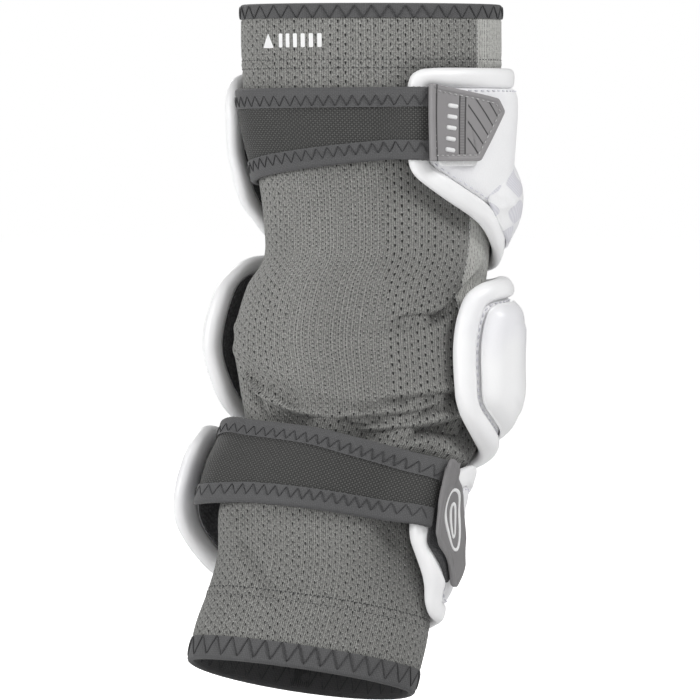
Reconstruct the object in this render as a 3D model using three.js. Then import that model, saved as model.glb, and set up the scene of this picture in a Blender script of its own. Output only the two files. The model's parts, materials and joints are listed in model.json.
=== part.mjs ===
import * as THREE from 'three';

// Lacrosse arm pad with the shape it has on a full arm. Millimetres, +Z up.
// The origin is the middle of the arm at the elbow, -Y is the crook side of the arm.
// A place on the arm is given by its turn round the arm in degrees, 0 at the crook and
// 90 at +X, its distance along the arm from the upper mouth, and its lift off the sleeve.

// Driving sizes
const SLEEVE_WALL = 1.5;
const GAP = 0.3;
const UPPER_CUFF_TAPE_WIDTH = 7;
const LOWER_CUFF_TAPE_WIDTH = 11.5;
const CUFF_PINCH = 0.6;
const TAPE_THICKNESS = 0.6;
const FOLD_THICKNESS = 0.9;
const STRAP_TAPE_WIDTH = 9.5;
const WEB_THICKNESS = 1.4;
const STRAP_HEIGHT = 3.2;
const RIM_WIDTH = 9.6;
const LINER_THICKNESS = 1.2;
const TAB_THICKNESS = 2.4;
const HOOK_THICKNESS = 1.1;
const MM_PER_DEGREE = 0.92;
const PANEL_MARGIN = 0.25;
const EDGE_BUNCHING = 0.4;
const RIM_FULLNESS = 1.06;

// Mesh fineness
const SLEEVE_COLUMNS = 44;
const SLEEVE_ROWS = 21;
const LINING_ROWS = 9;
const RIM_STEPS = 48;
const RIM_SIDES = 6;
const PAD_COLUMNS = 23;
const PAD_ROWS = 4;
const PLATE_COLUMNS = 9;
const PLATE_ROWS = 5;
const RAISED_COLUMNS = 16;
const RAISED_ROWS = 4;
const STRAP_COLUMNS = 21;
const OUTLINE_POINTS = 240;
const CORNER_SPREAD = 6;

// Names each value of a row, so that a table reads as one
function rowsOf(names, rows) {
  return rows.map((row) => Object.fromEntries(names.map((name, i) => [name, row[i]])));
}

// Sections across the arm, from the upper mouth to the lower one: height and place of the
// middle, half width, depth to the crook and to the back, tilt and forward lean in degrees
const SECTIONS = rowsOf(['z', 'x', 'half', 'front', 'back', 'roll', 'lean'], [
  [165.5, 0.5, 62.5, 36, 46, 0, 0],
  [139, 0.7, 62.2, 37, 46, -0.2, 0],
  [111, 1, 60.5, 37, 46, -0.5, 0],
  [83, 3, 56.5, 37, 45, -0.5, 0],
  [60, 3.6, 54.5, 37, 45, -0.5, 1],
  [43.5, 3, 54, 38, 45, 0.5, 3],
  [28.5, -2.2, 57, 38, 45, 1.5, 5],
  [2, -6, 59.3, 38, 45, 2.8, 8],
  [-21, -4.6, 58, 37, 44, 4.7, 11],
  [-41.3, -4.6, 55.7, 34, 43, 5.9, 13],
  [-63.5, -16.8, 51, 30, 41, 8.7, 13],
  [-83.5, -21.4, 51.2, 28, 40, 8.6, 13],
  [-105, -21.8, 51.7, 27, 39, 9, 13],
  [-123.5, -24.9, 53.6, 26, 38, 8.8, 13],
  [-138.5, -29.2, 54.7, 25, 39, 8.7, 13.5],
  [-154.5, -33, 54.3, 24, 40, 8.5, 15],
]);

// Creases and ridges of the sleeve: the two ends of each, its half width and its height
const FOLDS = rowsOf(['turnA', 'alongA', 'turnB', 'alongB', 'width', 'height'], [
  [74, 130, 27, 156, 6, -2.2],
  [-8, 166, 34, 160, 4, -1.1],
  [-74, 180, -36, 199, 6, -2.8],
  [-40, 199, 6, 205, 5, -1.8],
  [0, 203, 64, 189, 4.5, -1.9],
  [8, 206, 76, 203, 4.5, -2.2],
  [10, 203, 72, 196, 3, 1.1],
  [-67, 194, -58, 201, 4, 1.6],
  [54, 215, 78, 217, 5, 1.6],
  [-50, 263, -12, 292, 9, -1.8],
]);

// Outlines of the pads on the arm: turn and distance along, clockwise from the crook side
const BICEP_OUTLINE = [
  [15.5, 38], [15, 50], [15, 66], [15, 76], [18, 82.5], [26, 89], [38, 96.5], [57, 106],
  [74, 116], [92, 123.5], [115, 126.5], [150, 127], [190, 125], [218, 120], [236, 112],
  [248, 102], [256, 91], [259, 78], [259, 62], [258, 47], [251, 35.5], [230, 31], [190, 30.5],
  [140, 30.5], [90, 31], [50, 31], [26, 31.2], [18.5, 33],
];
const ELBOW_OUTLINE = [
  [74, 131.5], [61, 134.5], [53, 139.5], [49.5, 146], [47.2, 156], [46.3, 170], [46.3, 184],
  [48, 194], [53, 201.5], [64, 208], [78, 211.5], [100, 214], [125, 217], [155, 219],
  [205, 214], [235, 204.5], [252, 194.5], [261, 178], [263.5, 157], [262, 136], [255, 124.5],
  [239, 119.5], [218, 123], [190, 128.5], [155, 130.5], [115, 130], [90, 129.5],
];
const FOREARM_OUTLINE = [
  [61, 225], [52, 233], [47, 246], [47.5, 258], [53, 269], [60, 280], [64, 288], [71, 293],
  [82, 294], [100, 293.5], [140, 297], [190, 294], [227, 284], [248, 269], [258, 252],
  [260, 233], [260, 217.5], [253, 207], [238, 208], [205, 218.5], [155, 223.5], [105, 220],
  [78, 218.5],
];
const BULGE_OUTLINE = [
  [62, 88], [64, 98], [76, 107], [100, 114], [150, 116], [195, 113], [225, 103], [236, 86],
  [215, 77], [150, 75], [95, 76],
];
const FOREARM_PANEL_OUTLINE = [
  [90, 238], [88, 254], [95, 268], [112, 279], [145, 283], [190, 279], [220, 266], [234, 248],
  [229, 231], [192, 233], [150, 237], [110, 235],
];

// Straps: turn, distance along of both edges, and lift of both edges off the sleeve
const STRAP_COLUMN_NAMES = ['turn', 'top', 'bottom', 'topLift', 'bottomLift'];
const UPPER_STRAP = rowsOf(STRAP_COLUMN_NAMES, [
  [-112, 40, 86.5, 0.7, 0.7],
  [-90, 40, 85, 0.7, 0.7],
  [-60, 40, 81.3, 0.7, 0.7],
  [-20, 40, 76.8, 0.7, 0.7],
  [2, 40, 74.8, 0.8, 0.8],
  [8, 40, 74.4, 2.8, 2.8],
  [12, 40, 74.5, 6.2, 6.2],
  [15.5, 40, 74.7, 9, 9],
  [18, 40, 74.8, 9.6, 9.6],
  [24.5, 40, 75.2, 9.6, 9.6],
]);
const LOWER_STRAP = rowsOf(STRAP_COLUMN_NAMES, [
  [-120, 208, 245, 8, 8],
  [-104, 208, 251, 10, 10.4],
  [-92, 207, 254.5, 8.4, 9.4],
  [-78, 207, 255, 5.2, 6.2],
  [-62, 209.5, 254.5, 1.8, 2.2],
  [-48, 211, 254, 0.8, 0.9],
  [-20, 213.5, 254, 0.8, 0.8],
  [0, 216.5, 254, 0.8, 0.8],
  [24, 219, 254, 1, 1.2],
  [34, 220.2, 254, 4, 4.6],
  [41, 221, 254, 8.4, 9],
  [46, 221.6, 254, 10.8, 11.4],
  [53, 222, 254, 11.4, 12],
]);

// Tabs and hook patches: the corners of each, as turn and distance along
const UPPER_TAB_CORNERS = [[22.4, 38.5], [57, 45.8], [61.5, 52], [47.5, 75.3], [22.4, 75.3]];
const UPPER_HOOK_CORNERS = [[27.5, 41.5], [50, 47], [52, 66], [46.5, 77.6], [27.5, 77.6]];
const LOWER_TAB_CORNERS = [
  [46.4, 221.5], [70, 236], [84, 255], [83.5, 268], [77, 276.5], [72, 276], [52.7, 257.5],
];
const LOWER_HOOK_CORNERS = [[56.5, 229], [68, 237], [80, 256], [71.5, 277], [67.5, 275], [56.5, 262.5]];
const TAB_CORNER_RADIUS = 2.5;

// Smooth step from 0 at a to 1 at b
function ease(a, b, x) {
  const t = Math.min(1, Math.max(0, (x - a) / (b - a)));
  return t * t * (3 - 2 * t);
}

// Reads a table at a place between its rows, along a smooth cubic through them
function readTable(rows, key, at) {
  const last = rows.length - 1;
  const held = Math.min(rows[last][key], Math.max(rows[0][key], at));
  let i = 0;
  while (i < last - 1 && rows[i + 1][key] <= held) i += 1;
  const slope = (name, k) => {
    const a = rows[Math.max(0, k - 1)];
    const b = rows[Math.min(last, k + 1)];
    return (b[name] - a[name]) / (b[key] - a[key]);
  };
  const step = rows[i + 1][key] - rows[i][key];
  const u = (held - rows[i][key]) / step;
  const past = at - held;
  const values = {};
  for (const name of Object.keys(rows[i])) {
    const cubic = (2 * u ** 3 - 3 * u ** 2 + 1) * rows[i][name]
      + (u ** 3 - 2 * u ** 2 + u) * step * slope(name, i)
      + (3 * u ** 2 - 2 * u ** 3) * rows[i + 1][name]
      + (u ** 3 - u ** 2) * step * slope(name, i + 1);
    values[name] = cubic + past * slope(name, past < 0 ? 0 : last);
  }
  return values;
}

// Adds to each section its y, from the lean, and its distance along the arm
function measureArm(rows) {
  let y = 0;
  let along = 0;
  return rows.map((row, i) => {
    if (i > 0) {
      const before = rows[i - 1];
      const drop = before.z - row.z;
      const forward = drop * Math.tan(THREE.MathUtils.degToRad((before.lean + row.lean) / 2));
      y -= forward;
      along += Math.hypot(row.x - before.x, drop, forward);
    }
    return { ...row, y, along };
  });
}
const ARM = measureArm(SECTIONS);
const ARM_LENGTH = ARM[ARM.length - 1].along;

// The point of the arm at a turn and a distance along, lifted off the sleeve's outer face
function armPoint(turn, along, lift) {
  const s = readTable(ARM, 'along', along);
  const angle = THREE.MathUtils.degToRad(turn);
  const roll = THREE.MathUtils.degToRad(s.roll);
  const lean = THREE.MathUtils.degToRad(s.lean);
  const side = new THREE.Vector3(Math.cos(roll), 0, -Math.sin(roll));
  const front = new THREE.Vector3(
    Math.sin(lean) * Math.sin(roll),
    -Math.cos(lean),
    Math.sin(lean) * Math.cos(roll),
  );
  const depth = Math.cos(angle) > 0 ? s.front : s.back;
  const normal = new THREE.Vector2(Math.sin(angle) / s.half, Math.cos(angle) / depth).normalize();
  return new THREE.Vector3(s.x, s.y, s.z)
    .addScaledVector(side, s.half * Math.sin(angle) + lift * normal.x)
    .addScaledVector(front, depth * Math.cos(angle) + lift * normal.y);
}

// Height of the sleeve's creases and ridges at a place
function foldHeight(turn, along) {
  const at = new THREE.Vector2((((turn + 180) % 360) - 180) * MM_PER_DEGREE, along);
  return FOLDS.reduce((sum, fold) => {
    const a = new THREE.Vector2(fold.turnA * MM_PER_DEGREE, fold.alongA);
    const b = new THREE.Vector2(fold.turnB * MM_PER_DEGREE, fold.alongB);
    const line = b.clone().sub(a);
    const share = THREE.MathUtils.clamp(at.clone().sub(a).dot(line) / line.lengthSq(), 0, 1);
    const away = at.distanceTo(a.addScaledVector(line, share));
    return sum + fold.height * Math.exp(-((away / fold.width) ** 2));
  }, 0);
}

// A smooth closed curve through a few points, as evenly spaced points
function closedCurve(outline, count) {
  const points = outline.map(([turn, along]) => new THREE.Vector3(turn * MM_PER_DEGREE, along, 0));
  const curve = new THREE.CatmullRomCurve3(points, true, 'catmullrom', 0.5);
  curve.arcLengthDivisions = 600;
  return curve.getSpacedPoints(count).slice(0, count).map((p) => [p.x / MM_PER_DEGREE, p.y]);
}

// A closed line of straight edges with rounded corners
function roundedPolygon(corners, radius) {
  const flat = corners.map(([turn, along]) => new THREE.Vector2(turn * MM_PER_DEGREE, along));
  return flat.flatMap((corner, i) => {
    const before = flat[(i + flat.length - 1) % flat.length];
    const after = flat[(i + 1) % flat.length];
    const start = corner.clone().add(before.clone().sub(corner).setLength(radius));
    const end = corner.clone().add(after.clone().sub(corner).setLength(radius));
    const arc = new THREE.QuadraticBezierCurve(start, corner, end);
    return arc.getPoints(4).map((p) => [p.x / MM_PER_DEGREE, p.y]);
  });
}

// Millimetres of arc in one degree of turn, just off the sleeve
function arcPerDegree(turn, along) {
  const s = readTable(ARM, 'along', along);
  const angle = THREE.MathUtils.degToRad(turn);
  const depth = Math.cos(angle) > 0 ? s.front : s.back;
  const reach = Math.hypot(s.half * Math.cos(angle), depth * Math.sin(angle));
  return THREE.MathUtils.degToRad(reach + RIM_WIDTH / 2);
}

// Directions into a closed curve, smoothed so that a band inside it doesn't cross itself
function inwardDirections(curve, spread) {
  const count = curve.length;
  const normals = curve.map((_, i) => {
    const a = curve[(i + count - 1) % count];
    const b = curve[(i + 1) % count];
    return new THREE.Vector2(b[1] - a[1], (a[0] - b[0]) * MM_PER_DEGREE).normalize();
  });
  const centre = curve.reduce((sum, p) => [sum[0] + p[0] / count, sum[1] + p[1] / count], [0, 0]);
  const inward = normals.reduce((sum, n, i) => sum + n.x * (centre[0] - curve[i][0])
    + n.y * (centre[1] - curve[i][1]), 0) > 0 ? 1 : -1;
  return normals.map((_, i) => {
    const sum = new THREE.Vector2();
    for (let k = -spread; k <= spread; k += 1) sum.add(normals[(i + k + count) % count]);
    return sum.setLength(inward);
  });
}

// The curve moved inward by a distance
function inset(curve, directions, distance) {
  return curve.map(([turn, along], i) => [
    turn + (directions[i].x * distance) / arcPerDegree(turn, along),
    along + directions[i].y * distance,
  ]);
}

// Distance along at which a closed line is crossed at a turn: its nearest and farthest edge
function edgesAt(line, turn) {
  const hits = line.flatMap((a, i) => {
    const b = line[(i + 1) % line.length];
    if ((a[0] - turn) * (b[0] - turn) > 0 || a[0] === b[0]) return [];
    return [a[1] + ((b[1] - a[1]) * (turn - a[0])) / (b[0] - a[0])];
  });
  return [Math.min(...hits), Math.max(...hits)];
}

// A mesh from points and triangles, turned so that its faces point out
function solid(name, material, points, triangles) {
  const volume = triangles.reduce((sum, [a, b, c]) => sum
    + points[a].dot(new THREE.Vector3().crossVectors(points[b], points[c])), 0);
  const ordered = volume < 0 ? triangles.map(([a, b, c]) => [a, c, b]) : triangles;
  const geometry = new THREE.BufferGeometry();
  geometry.setAttribute('position', new THREE.Float32BufferAttribute(
    points.flatMap((p) => p.toArray()), 3));
  geometry.setIndex(ordered.flat());
  geometry.computeVertexNormals();
  const mesh = new THREE.Mesh(geometry, material);
  mesh.name = name;
  return mesh;
}

// A ring: a closed section carried round a closed path, section(i) gives its points
function ring(name, material, steps, section) {
  const sections = Array.from({ length: steps }, (_, i) => section(i));
  const sides = sections[0].length;
  const triangles = [];
  for (let i = 0; i < steps; i += 1) {
    for (let k = 0; k < sides; k += 1) {
      const a = i * sides + k;
      const b = ((i + 1) % steps) * sides + k;
      const c = ((i + 1) % steps) * sides + ((k + 1) % sides);
      const d = i * sides + ((k + 1) % sides);
      triangles.push([a, b, c], [a, c, d]);
    }
  }
  return solid(name, material, sections.flat(), triangles);
}

// A band: a closed section carried along an open path, closed at both ends.
// The section is a flat polygon [across, height], place(i, across, height) puts it in space
function band(name, material, steps, polygon, place) {
  const sides = polygon.length;
  const points = [];
  for (let i = 0; i <= steps; i += 1) {
    points.push(...polygon.map(([across, height]) => place(i, across, height)));
  }
  const triangles = [];
  for (let i = 0; i < steps; i += 1) {
    for (let k = 0; k < sides; k += 1) {
      const next = (k + 1) % sides;
      const a = i * sides + k;
      const d = i * sides + next;
      triangles.push([a, a + sides, d + sides], [a, d + sides, d]);
    }
  }
  const flat = polygon.map(([across, height]) => new THREE.Vector2(across, height));
  const sense = Math.sign(THREE.ShapeUtils.area(flat));
  const end = steps * sides;
  for (const [a, b, c] of THREE.ShapeUtils.triangulateShape(flat, [])) {
    const same = Math.sign(THREE.ShapeUtils.area([flat[a], flat[b], flat[c]])) === sense;
    const [p, q, r] = same ? [a, b, c] : [a, c, b];
    triangles.push([p, q, r], [end + p, end + r, end + q]);
  }
  return solid(name, material, points, triangles);
}

// A panel: the space inside a closed line between an inner and an outer lift.
// Both lifts are functions of turn, along and the place in the panel, u and v from -1 to 1
function panel(name, material, line, columns, rows, outer, inner) {
  const turns = line.map((p) => p[0]);
  const low = Math.min(...turns) + PANEL_MARGIN;
  const high = Math.max(...turns) - PANEL_MARGIN;
  const faces = [[], []];
  for (let i = 0; i <= columns; i += 1) {
    const even = i / columns;
    const bunched = (1 - Math.cos(Math.PI * even)) / 2;
    const turn = low + (high - low) * (even + EDGE_BUNCHING * (bunched - even));
    const [top, bottom] = edgesAt(line, turn);
    for (let j = 0; j <= rows; j += 1) {
      const share = j / rows;
      const along = top + (bottom - top) * share;
      const u = (2 * (turn - low)) / (high - low) - 1;
      const v = 2 * share - 1;
      faces[0].push(armPoint(turn, along, outer(turn, along, u, v)));
      faces[1].push(armPoint(turn, along, inner(turn, along, u, v)));
    }
  }
  const at = (i, j) => i * (rows + 1) + j;
  const size = faces[0].length;
  const triangles = [];
  for (let i = 0; i < columns; i += 1) {
    for (let j = 0; j < rows; j += 1) {
      const corners = [at(i, j), at(i + 1, j), at(i + 1, j + 1), at(i, j + 1)];
      const [a, b, c, d] = corners;
      const [e, f, g, h] = corners.map((k) => k + size);
      triangles.push([a, b, c], [a, c, d], [e, g, f], [e, h, g]);
    }
  }
  const edge = [];
  for (let i = 0; i < columns; i += 1) edge.push([at(i, 0), at(i + 1, 0)]);
  for (let j = 0; j < rows; j += 1) edge.push([at(columns, j), at(columns, j + 1)]);
  for (let i = columns; i > 0; i -= 1) edge.push([at(i, rows), at(i - 1, rows)]);
  for (let j = rows; j > 0; j -= 1) edge.push([at(0, j), at(0, j - 1)]);
  for (const [a, b] of edge) {
    triangles.push([b, a, a + size], [b, a + size, b + size]);
  }
  return solid(name, material, [...faces[0], ...faces[1]], triangles);
}

// Finishes
const finish = (color, roughness) => new THREE.MeshStandardMaterial({
  color, roughness, metalness: 0,
});
const MESH_FABRIC = finish(0x82827e, 0.9);
const EDGE_TAPE = finish(0x5a5a5c, 0.85);
const WEBBING = finish(0x4b4b49, 0.8);
const RUBBER = finish(0x717071, 0.6);
const WHITE_SHELL = finish(0xf0eff2, 0.5);
const WHITE_FABRIC = finish(0xe4e2ea, 0.6);
const LINER = finish(0x77747c, 0.9);
const HOOK_WHITE = finish(0xf2f2f2, 0.8);
const HOOK_GREY = finish(0x48484a, 0.85);

// The stretch sleeve, a thin tube whose outer face carries the folds
function makeSleeve() {
  const start = FOLD_THICKNESS + GAP;
  const free = ARM_LENGTH - UPPER_CUFF_TAPE_WIDTH - LOWER_CUFF_TAPE_WIDTH;
  const places = (rows) => [
    start,
    ...Array.from({ length: rows }, (_, j) => UPPER_CUFF_TAPE_WIDTH + (free * j) / (rows - 1)),
    ARM_LENGTH - start,
  ];
  const pinched = (along) => along <= UPPER_CUFF_TAPE_WIDTH
    || along >= ARM_LENGTH - LOWER_CUFF_TAPE_WIDTH - GAP;
  const outer = (turn, along) => (pinched(along) ? -CUFF_PINCH : foldHeight(turn, along));
  return ring('sleeve', MESH_FABRIC, SLEEVE_COLUMNS, (i) => {
    const turn = (i * 360) / SLEEVE_COLUMNS;
    const outside = places(SLEEVE_ROWS).map(
      (along) => armPoint(turn, along, outer(turn, along)));
    const inside = places(LINING_ROWS).reverse().map(
      (along) => armPoint(turn, along, outer(turn, along) - SLEEVE_WALL));
    return [...outside, ...inside];
  });
}

// A folded tape round one mouth of the sleeve; toward is 1 at the upper mouth, -1 at the lower
function makeCuffTape(name, width, edge, toward) {
  const face = -CUFF_PINCH + GAP;
  const outer = face + TAPE_THICKNESS;
  const back = -CUFF_PINCH - SLEEVE_WALL - GAP;
  const inner = back - TAPE_THICKNESS;
  const profile = [
    [0, outer], [width, outer], [width, face], [FOLD_THICKNESS, face],
    [FOLD_THICKNESS, back], [width, back], [width, inner], [0, inner],
  ];
  return ring(name, EDGE_TAPE, SLEEVE_COLUMNS, (i) => profile.map(([across, lift]) => armPoint(
    (i * 360) / SLEEVE_COLUMNS, edge + toward * across, lift)));
}

// One pad: its rolled rim, its foam body inside the rim, its liner and its raised part
function makePad({ name, outline, lift, rimHeight, bodyHeight, crown, raised, bodyFinish }) {
  const curve = closedCurve(outline, OUTLINE_POINTS);
  const directions = inwardDirections(curve, CORNER_SPREAD);
  const inside = (distance) => inset(curve, directions, distance);
  const rimPath = Array.from({ length: RIM_STEPS }, (_, i) => {
    const k = Math.round((i * curve.length) / RIM_STEPS) % curve.length;
    return { at: curve[k], direction: directions[k] };
  });
  const rim = ring(`${name}_rim`, WHITE_SHELL, RIM_STEPS, (i) => {
    const { at, direction } = rimPath[i];
    return Array.from({ length: RIM_SIDES }, (_, k) => {
      const angle = ((k + 0.5) * 2 * Math.PI) / RIM_SIDES;
      const distance = (RIM_WIDTH / 2) * (1 - Math.cos(angle) * RIM_FULLNESS);
      const [[turn, along]] = inset([at], [direction], distance);
      const height = (rimHeight(turn, along) / 2) * (1 + Math.sin(angle) * RIM_FULLNESS);
      return armPoint(turn, along, lift(turn, along) + height);
    });
  });
  const edge = inside(RIM_WIDTH + 4 * GAP);
  const bodyBase = LINER_THICKNESS + 1.5 * GAP;
  const swell = (u, v) => Math.sqrt(Math.max(0, (1 - u ** 6) * (1 - v ** 6)));
  const bodyTop = (u, v) => bodyHeight - crown + crown * swell(u, v);
  const liner = panel(`${name}_liner`, LINER, edge, PAD_COLUMNS, PAD_ROWS,
    (t, a) => lift(t, a) + LINER_THICKNESS, (t, a) => lift(t, a));
  const body = panel(`${name}_pad`, bodyFinish, edge, PAD_COLUMNS, PAD_ROWS,
    (t, a, u, v) => lift(t, a) + bodyTop(u, v), (t, a) => lift(t, a) + bodyBase);
  const raisedLine = raised.outline
    ? closedCurve(raised.outline, OUTLINE_POINTS) : inside(raised.inset);
  const rise = (u, v) => raised.edge + (raised.height - raised.edge)
    * Math.max(0, (1 - u ** 4) * (1 - v ** 4)) ** 0.6;
  const base = bodyHeight + 2 * GAP;
  const upper = panel(raised.name, raised.finish, raisedLine, RAISED_COLUMNS, RAISED_ROWS,
    (t, a, u, v) => lift(t, a) + base + rise(u, v), (t, a) => lift(t, a) + base);
  return [rim, body, liner, upper];
}

// Pads stand off the arm at their left wings, and swell at the right side
const bicepLift = (turn, along) => 1 + 0.3 * ease(120, 40, turn) + ease(200, 246, turn)
  * (3.7 + 3 * ease(50, 74, along) * ease(106, 92, along));
const elbowLift = (turn, along) => 1 + 6.8 * ease(195, 256, turn) + 5.6
  * ease(122, 142, along) * ease(210, 178, along) * ease(135, 95, turn) * ease(42, 78, turn);
const forearmLift = (turn, along) => 1 + 16.5 * ease(195, 260, turn) + 5.2
  * ease(212, 238, along) * ease(288, 264, along) * ease(145, 100, turn) * ease(42, 80, turn);

const bicepRimHeight = (turn, along) => 7.6 - 2.6 * ease(100, 126, along) * ease(150, 80, turn)
  - 2 * ease(48, 36, along) * ease(30, 60, turn) * ease(240, 200, turn);
const elbowRimHeight = () => 9;
const forearmRimHeight = (turn, along) => 9 - 3.4 * ease(150, 100, turn)
  * Math.max(ease(272, 292, along), ease(234, 222, along) * ease(58, 80, turn));

const BICEP = {
  name: 'bicep',
  outline: BICEP_OUTLINE,
  lift: bicepLift,
  rimHeight: bicepRimHeight,
  bodyHeight: 8.3,
  crown: 2.4,
  bodyFinish: WHITE_FABRIC,
  raised: {
    name: 'bicep_bulge',
    outline: BULGE_OUTLINE,
    edge: 1.2,
    height: 5,
    finish: WHITE_FABRIC,
  },
};
const ELBOW = {
  name: 'elbow',
  outline: ELBOW_OUTLINE,
  lift: elbowLift,
  rimHeight: elbowRimHeight,
  bodyHeight: 7,
  crown: 1.2,
  bodyFinish: WHITE_FABRIC,
  raised: { name: 'elbow_cap', inset: 12, edge: 1.6, height: 7.4, finish: WHITE_SHELL },
};
const FOREARM = {
  name: 'forearm',
  outline: FOREARM_OUTLINE,
  lift: forearmLift,
  rimHeight: forearmRimHeight,
  bodyHeight: 7,
  crown: 1.6,
  bodyFinish: WHITE_FABRIC,
  raised: {
    name: 'forearm_panel',
    outline: FOREARM_PANEL_OUTLINE,
    edge: 1.2,
    height: 4,
    finish: WHITE_FABRIC,
  },
};

// A strap across the crook: the web and the folded tape on each of its long edges
function makeStrap(name, rows) {
  const first = rows[0].turn;
  const last = rows[rows.length - 1].turn;
  const place = (i, share, across, height) => {
    const turn = first + ((last - first) * i) / STRAP_COLUMNS;
    const s = readTable(rows, 'turn', turn);
    const along = s.top + (s.bottom - s.top) * share + across;
    const part = (along - s.top) / (s.bottom - s.top);
    return armPoint(turn, along, s.topLift + (s.bottomLift - s.topLift) * part + height);
  };
  const low = (STRAP_HEIGHT - WEB_THICKNESS) / 2;
  const high = low + WEB_THICKNESS;
  const inFromEdge = FOLD_THICKNESS + GAP;
  const across = [
    [0, inFromEdge], [0, STRAP_TAPE_WIDTH], [0.5, 0], [1, -STRAP_TAPE_WIDTH], [1, -inFromEdge],
  ];
  const webPolygon = [
    ...across.map((_, k) => [k, low]),
    ...across.map((_, k) => [k, high]).reverse(),
  ];
  const web = band(name, WEBBING, STRAP_COLUMNS, webPolygon,
    (i, k, height) => place(i, ...across[k], height));
  const tapePolygon = [
    [0, 0], [STRAP_TAPE_WIDTH, 0], [STRAP_TAPE_WIDTH, TAPE_THICKNESS],
    [FOLD_THICKNESS, TAPE_THICKNESS], [FOLD_THICKNESS, STRAP_HEIGHT - TAPE_THICKNESS],
    [STRAP_TAPE_WIDTH, STRAP_HEIGHT - TAPE_THICKNESS], [STRAP_TAPE_WIDTH, STRAP_HEIGHT],
    [0, STRAP_HEIGHT],
  ];
  const topTape = band(`${name}_top_tape`, EDGE_TAPE, STRAP_COLUMNS, tapePolygon,
    (i, across, height) => place(i, 0, across, height));
  const bottomTape = band(`${name}_bottom_tape`, EDGE_TAPE, STRAP_COLUMNS, tapePolygon,
    (i, across, height) => place(i, 1, -across, height));
  return [web, topTape, bottomTape];
}

// A thin plate on the arm with rounded corners
function makePlate(name, material, corners, thickness, lift) {
  return panel(name, material, roundedPolygon(corners, TAB_CORNER_RADIUS), PLATE_COLUMNS,
    PLATE_ROWS, (t, a) => lift(t, a) + thickness, lift);
}

// Lifts of the tabs, which come down from the strap onto the hook patch, and of the patches
const upperHookLift = (turn, along) => bicepLift(turn, along) + 8.7;
const upperTabLift = (turn, along) => upperHookLift(turn, along) + HOOK_THICKNESS + GAP
  + 2.2 * ease(31, 25, turn);
const lowerHookLift = (turn, along) => forearmLift(turn, along) + 7.5 + 2 * ease(70, 62, turn);
const lowerTabLift = (turn, along) => lowerHookLift(turn, along) + HOOK_THICKNESS + 2 * GAP
  + 4 * ease(60, 53, turn);

const armPad = new THREE.Group();
armPad.add(
  makeSleeve(),
  makeCuffTape('upper_cuff_binding', UPPER_CUFF_TAPE_WIDTH, 0, 1),
  makeCuffTape('lower_cuff_binding', LOWER_CUFF_TAPE_WIDTH, ARM_LENGTH, -1),
  ...makePad(BICEP),
  ...makePad(ELBOW),
  ...makePad(FOREARM),
  ...makeStrap('upper_strap', UPPER_STRAP),
  ...makeStrap('lower_strap', LOWER_STRAP),
  makePlate('upper_hook_patch', HOOK_WHITE, UPPER_HOOK_CORNERS, HOOK_THICKNESS, upperHookLift),
  makePlate('upper_tab', RUBBER, UPPER_TAB_CORNERS, TAB_THICKNESS, upperTabLift),
  makePlate('lower_hook_patch', HOOK_GREY, LOWER_HOOK_CORNERS, HOOK_THICKNESS, lowerHookLift),
  makePlate('lower_tab', RUBBER, LOWER_TAB_CORNERS, TAB_THICKNESS, lowerTabLift),
);

export default armPad;
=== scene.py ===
"""Looks of a sleeve-style lacrosse arm pad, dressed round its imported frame."""

import json
import logging
import math
from collections.abc import Callable, Sequence
from dataclasses import dataclass, field
from enum import Enum
from functools import cache, cached_property

import bpy
import numpy as np
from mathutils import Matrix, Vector

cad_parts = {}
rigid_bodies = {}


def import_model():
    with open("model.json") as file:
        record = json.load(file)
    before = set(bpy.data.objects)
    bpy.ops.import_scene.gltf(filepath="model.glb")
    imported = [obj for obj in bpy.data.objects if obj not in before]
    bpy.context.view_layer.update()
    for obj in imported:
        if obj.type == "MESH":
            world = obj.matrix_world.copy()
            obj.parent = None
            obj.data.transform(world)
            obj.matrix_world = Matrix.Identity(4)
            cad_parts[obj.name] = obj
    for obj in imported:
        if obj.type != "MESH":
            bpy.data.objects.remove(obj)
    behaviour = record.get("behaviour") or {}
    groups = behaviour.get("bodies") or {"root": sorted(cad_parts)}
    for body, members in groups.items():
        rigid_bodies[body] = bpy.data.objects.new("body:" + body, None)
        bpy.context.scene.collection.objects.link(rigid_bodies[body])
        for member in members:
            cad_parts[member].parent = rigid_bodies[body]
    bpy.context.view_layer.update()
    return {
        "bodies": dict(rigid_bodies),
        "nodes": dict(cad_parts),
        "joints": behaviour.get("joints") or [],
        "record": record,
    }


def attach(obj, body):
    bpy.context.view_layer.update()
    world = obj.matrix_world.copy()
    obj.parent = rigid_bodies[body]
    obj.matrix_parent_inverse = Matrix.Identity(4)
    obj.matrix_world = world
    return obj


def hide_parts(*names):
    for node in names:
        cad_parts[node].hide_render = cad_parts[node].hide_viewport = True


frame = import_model()

log = logging.getLogger("arm_pad")

MM = 0.001
GAP = 0.3
MM_PER_DEGREE = 0.92
BODY = "root"

Array = np.ndarray
Piece = bpy.types.Object
Socket = bpy.types.NodeSocket
Triple = tuple[float, float, float]
Corners = Sequence[tuple[float, float]]
# A lift, or another height that changes over the arm: takes turns and distances along
Height = Callable[[Array, Array], Array]

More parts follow.
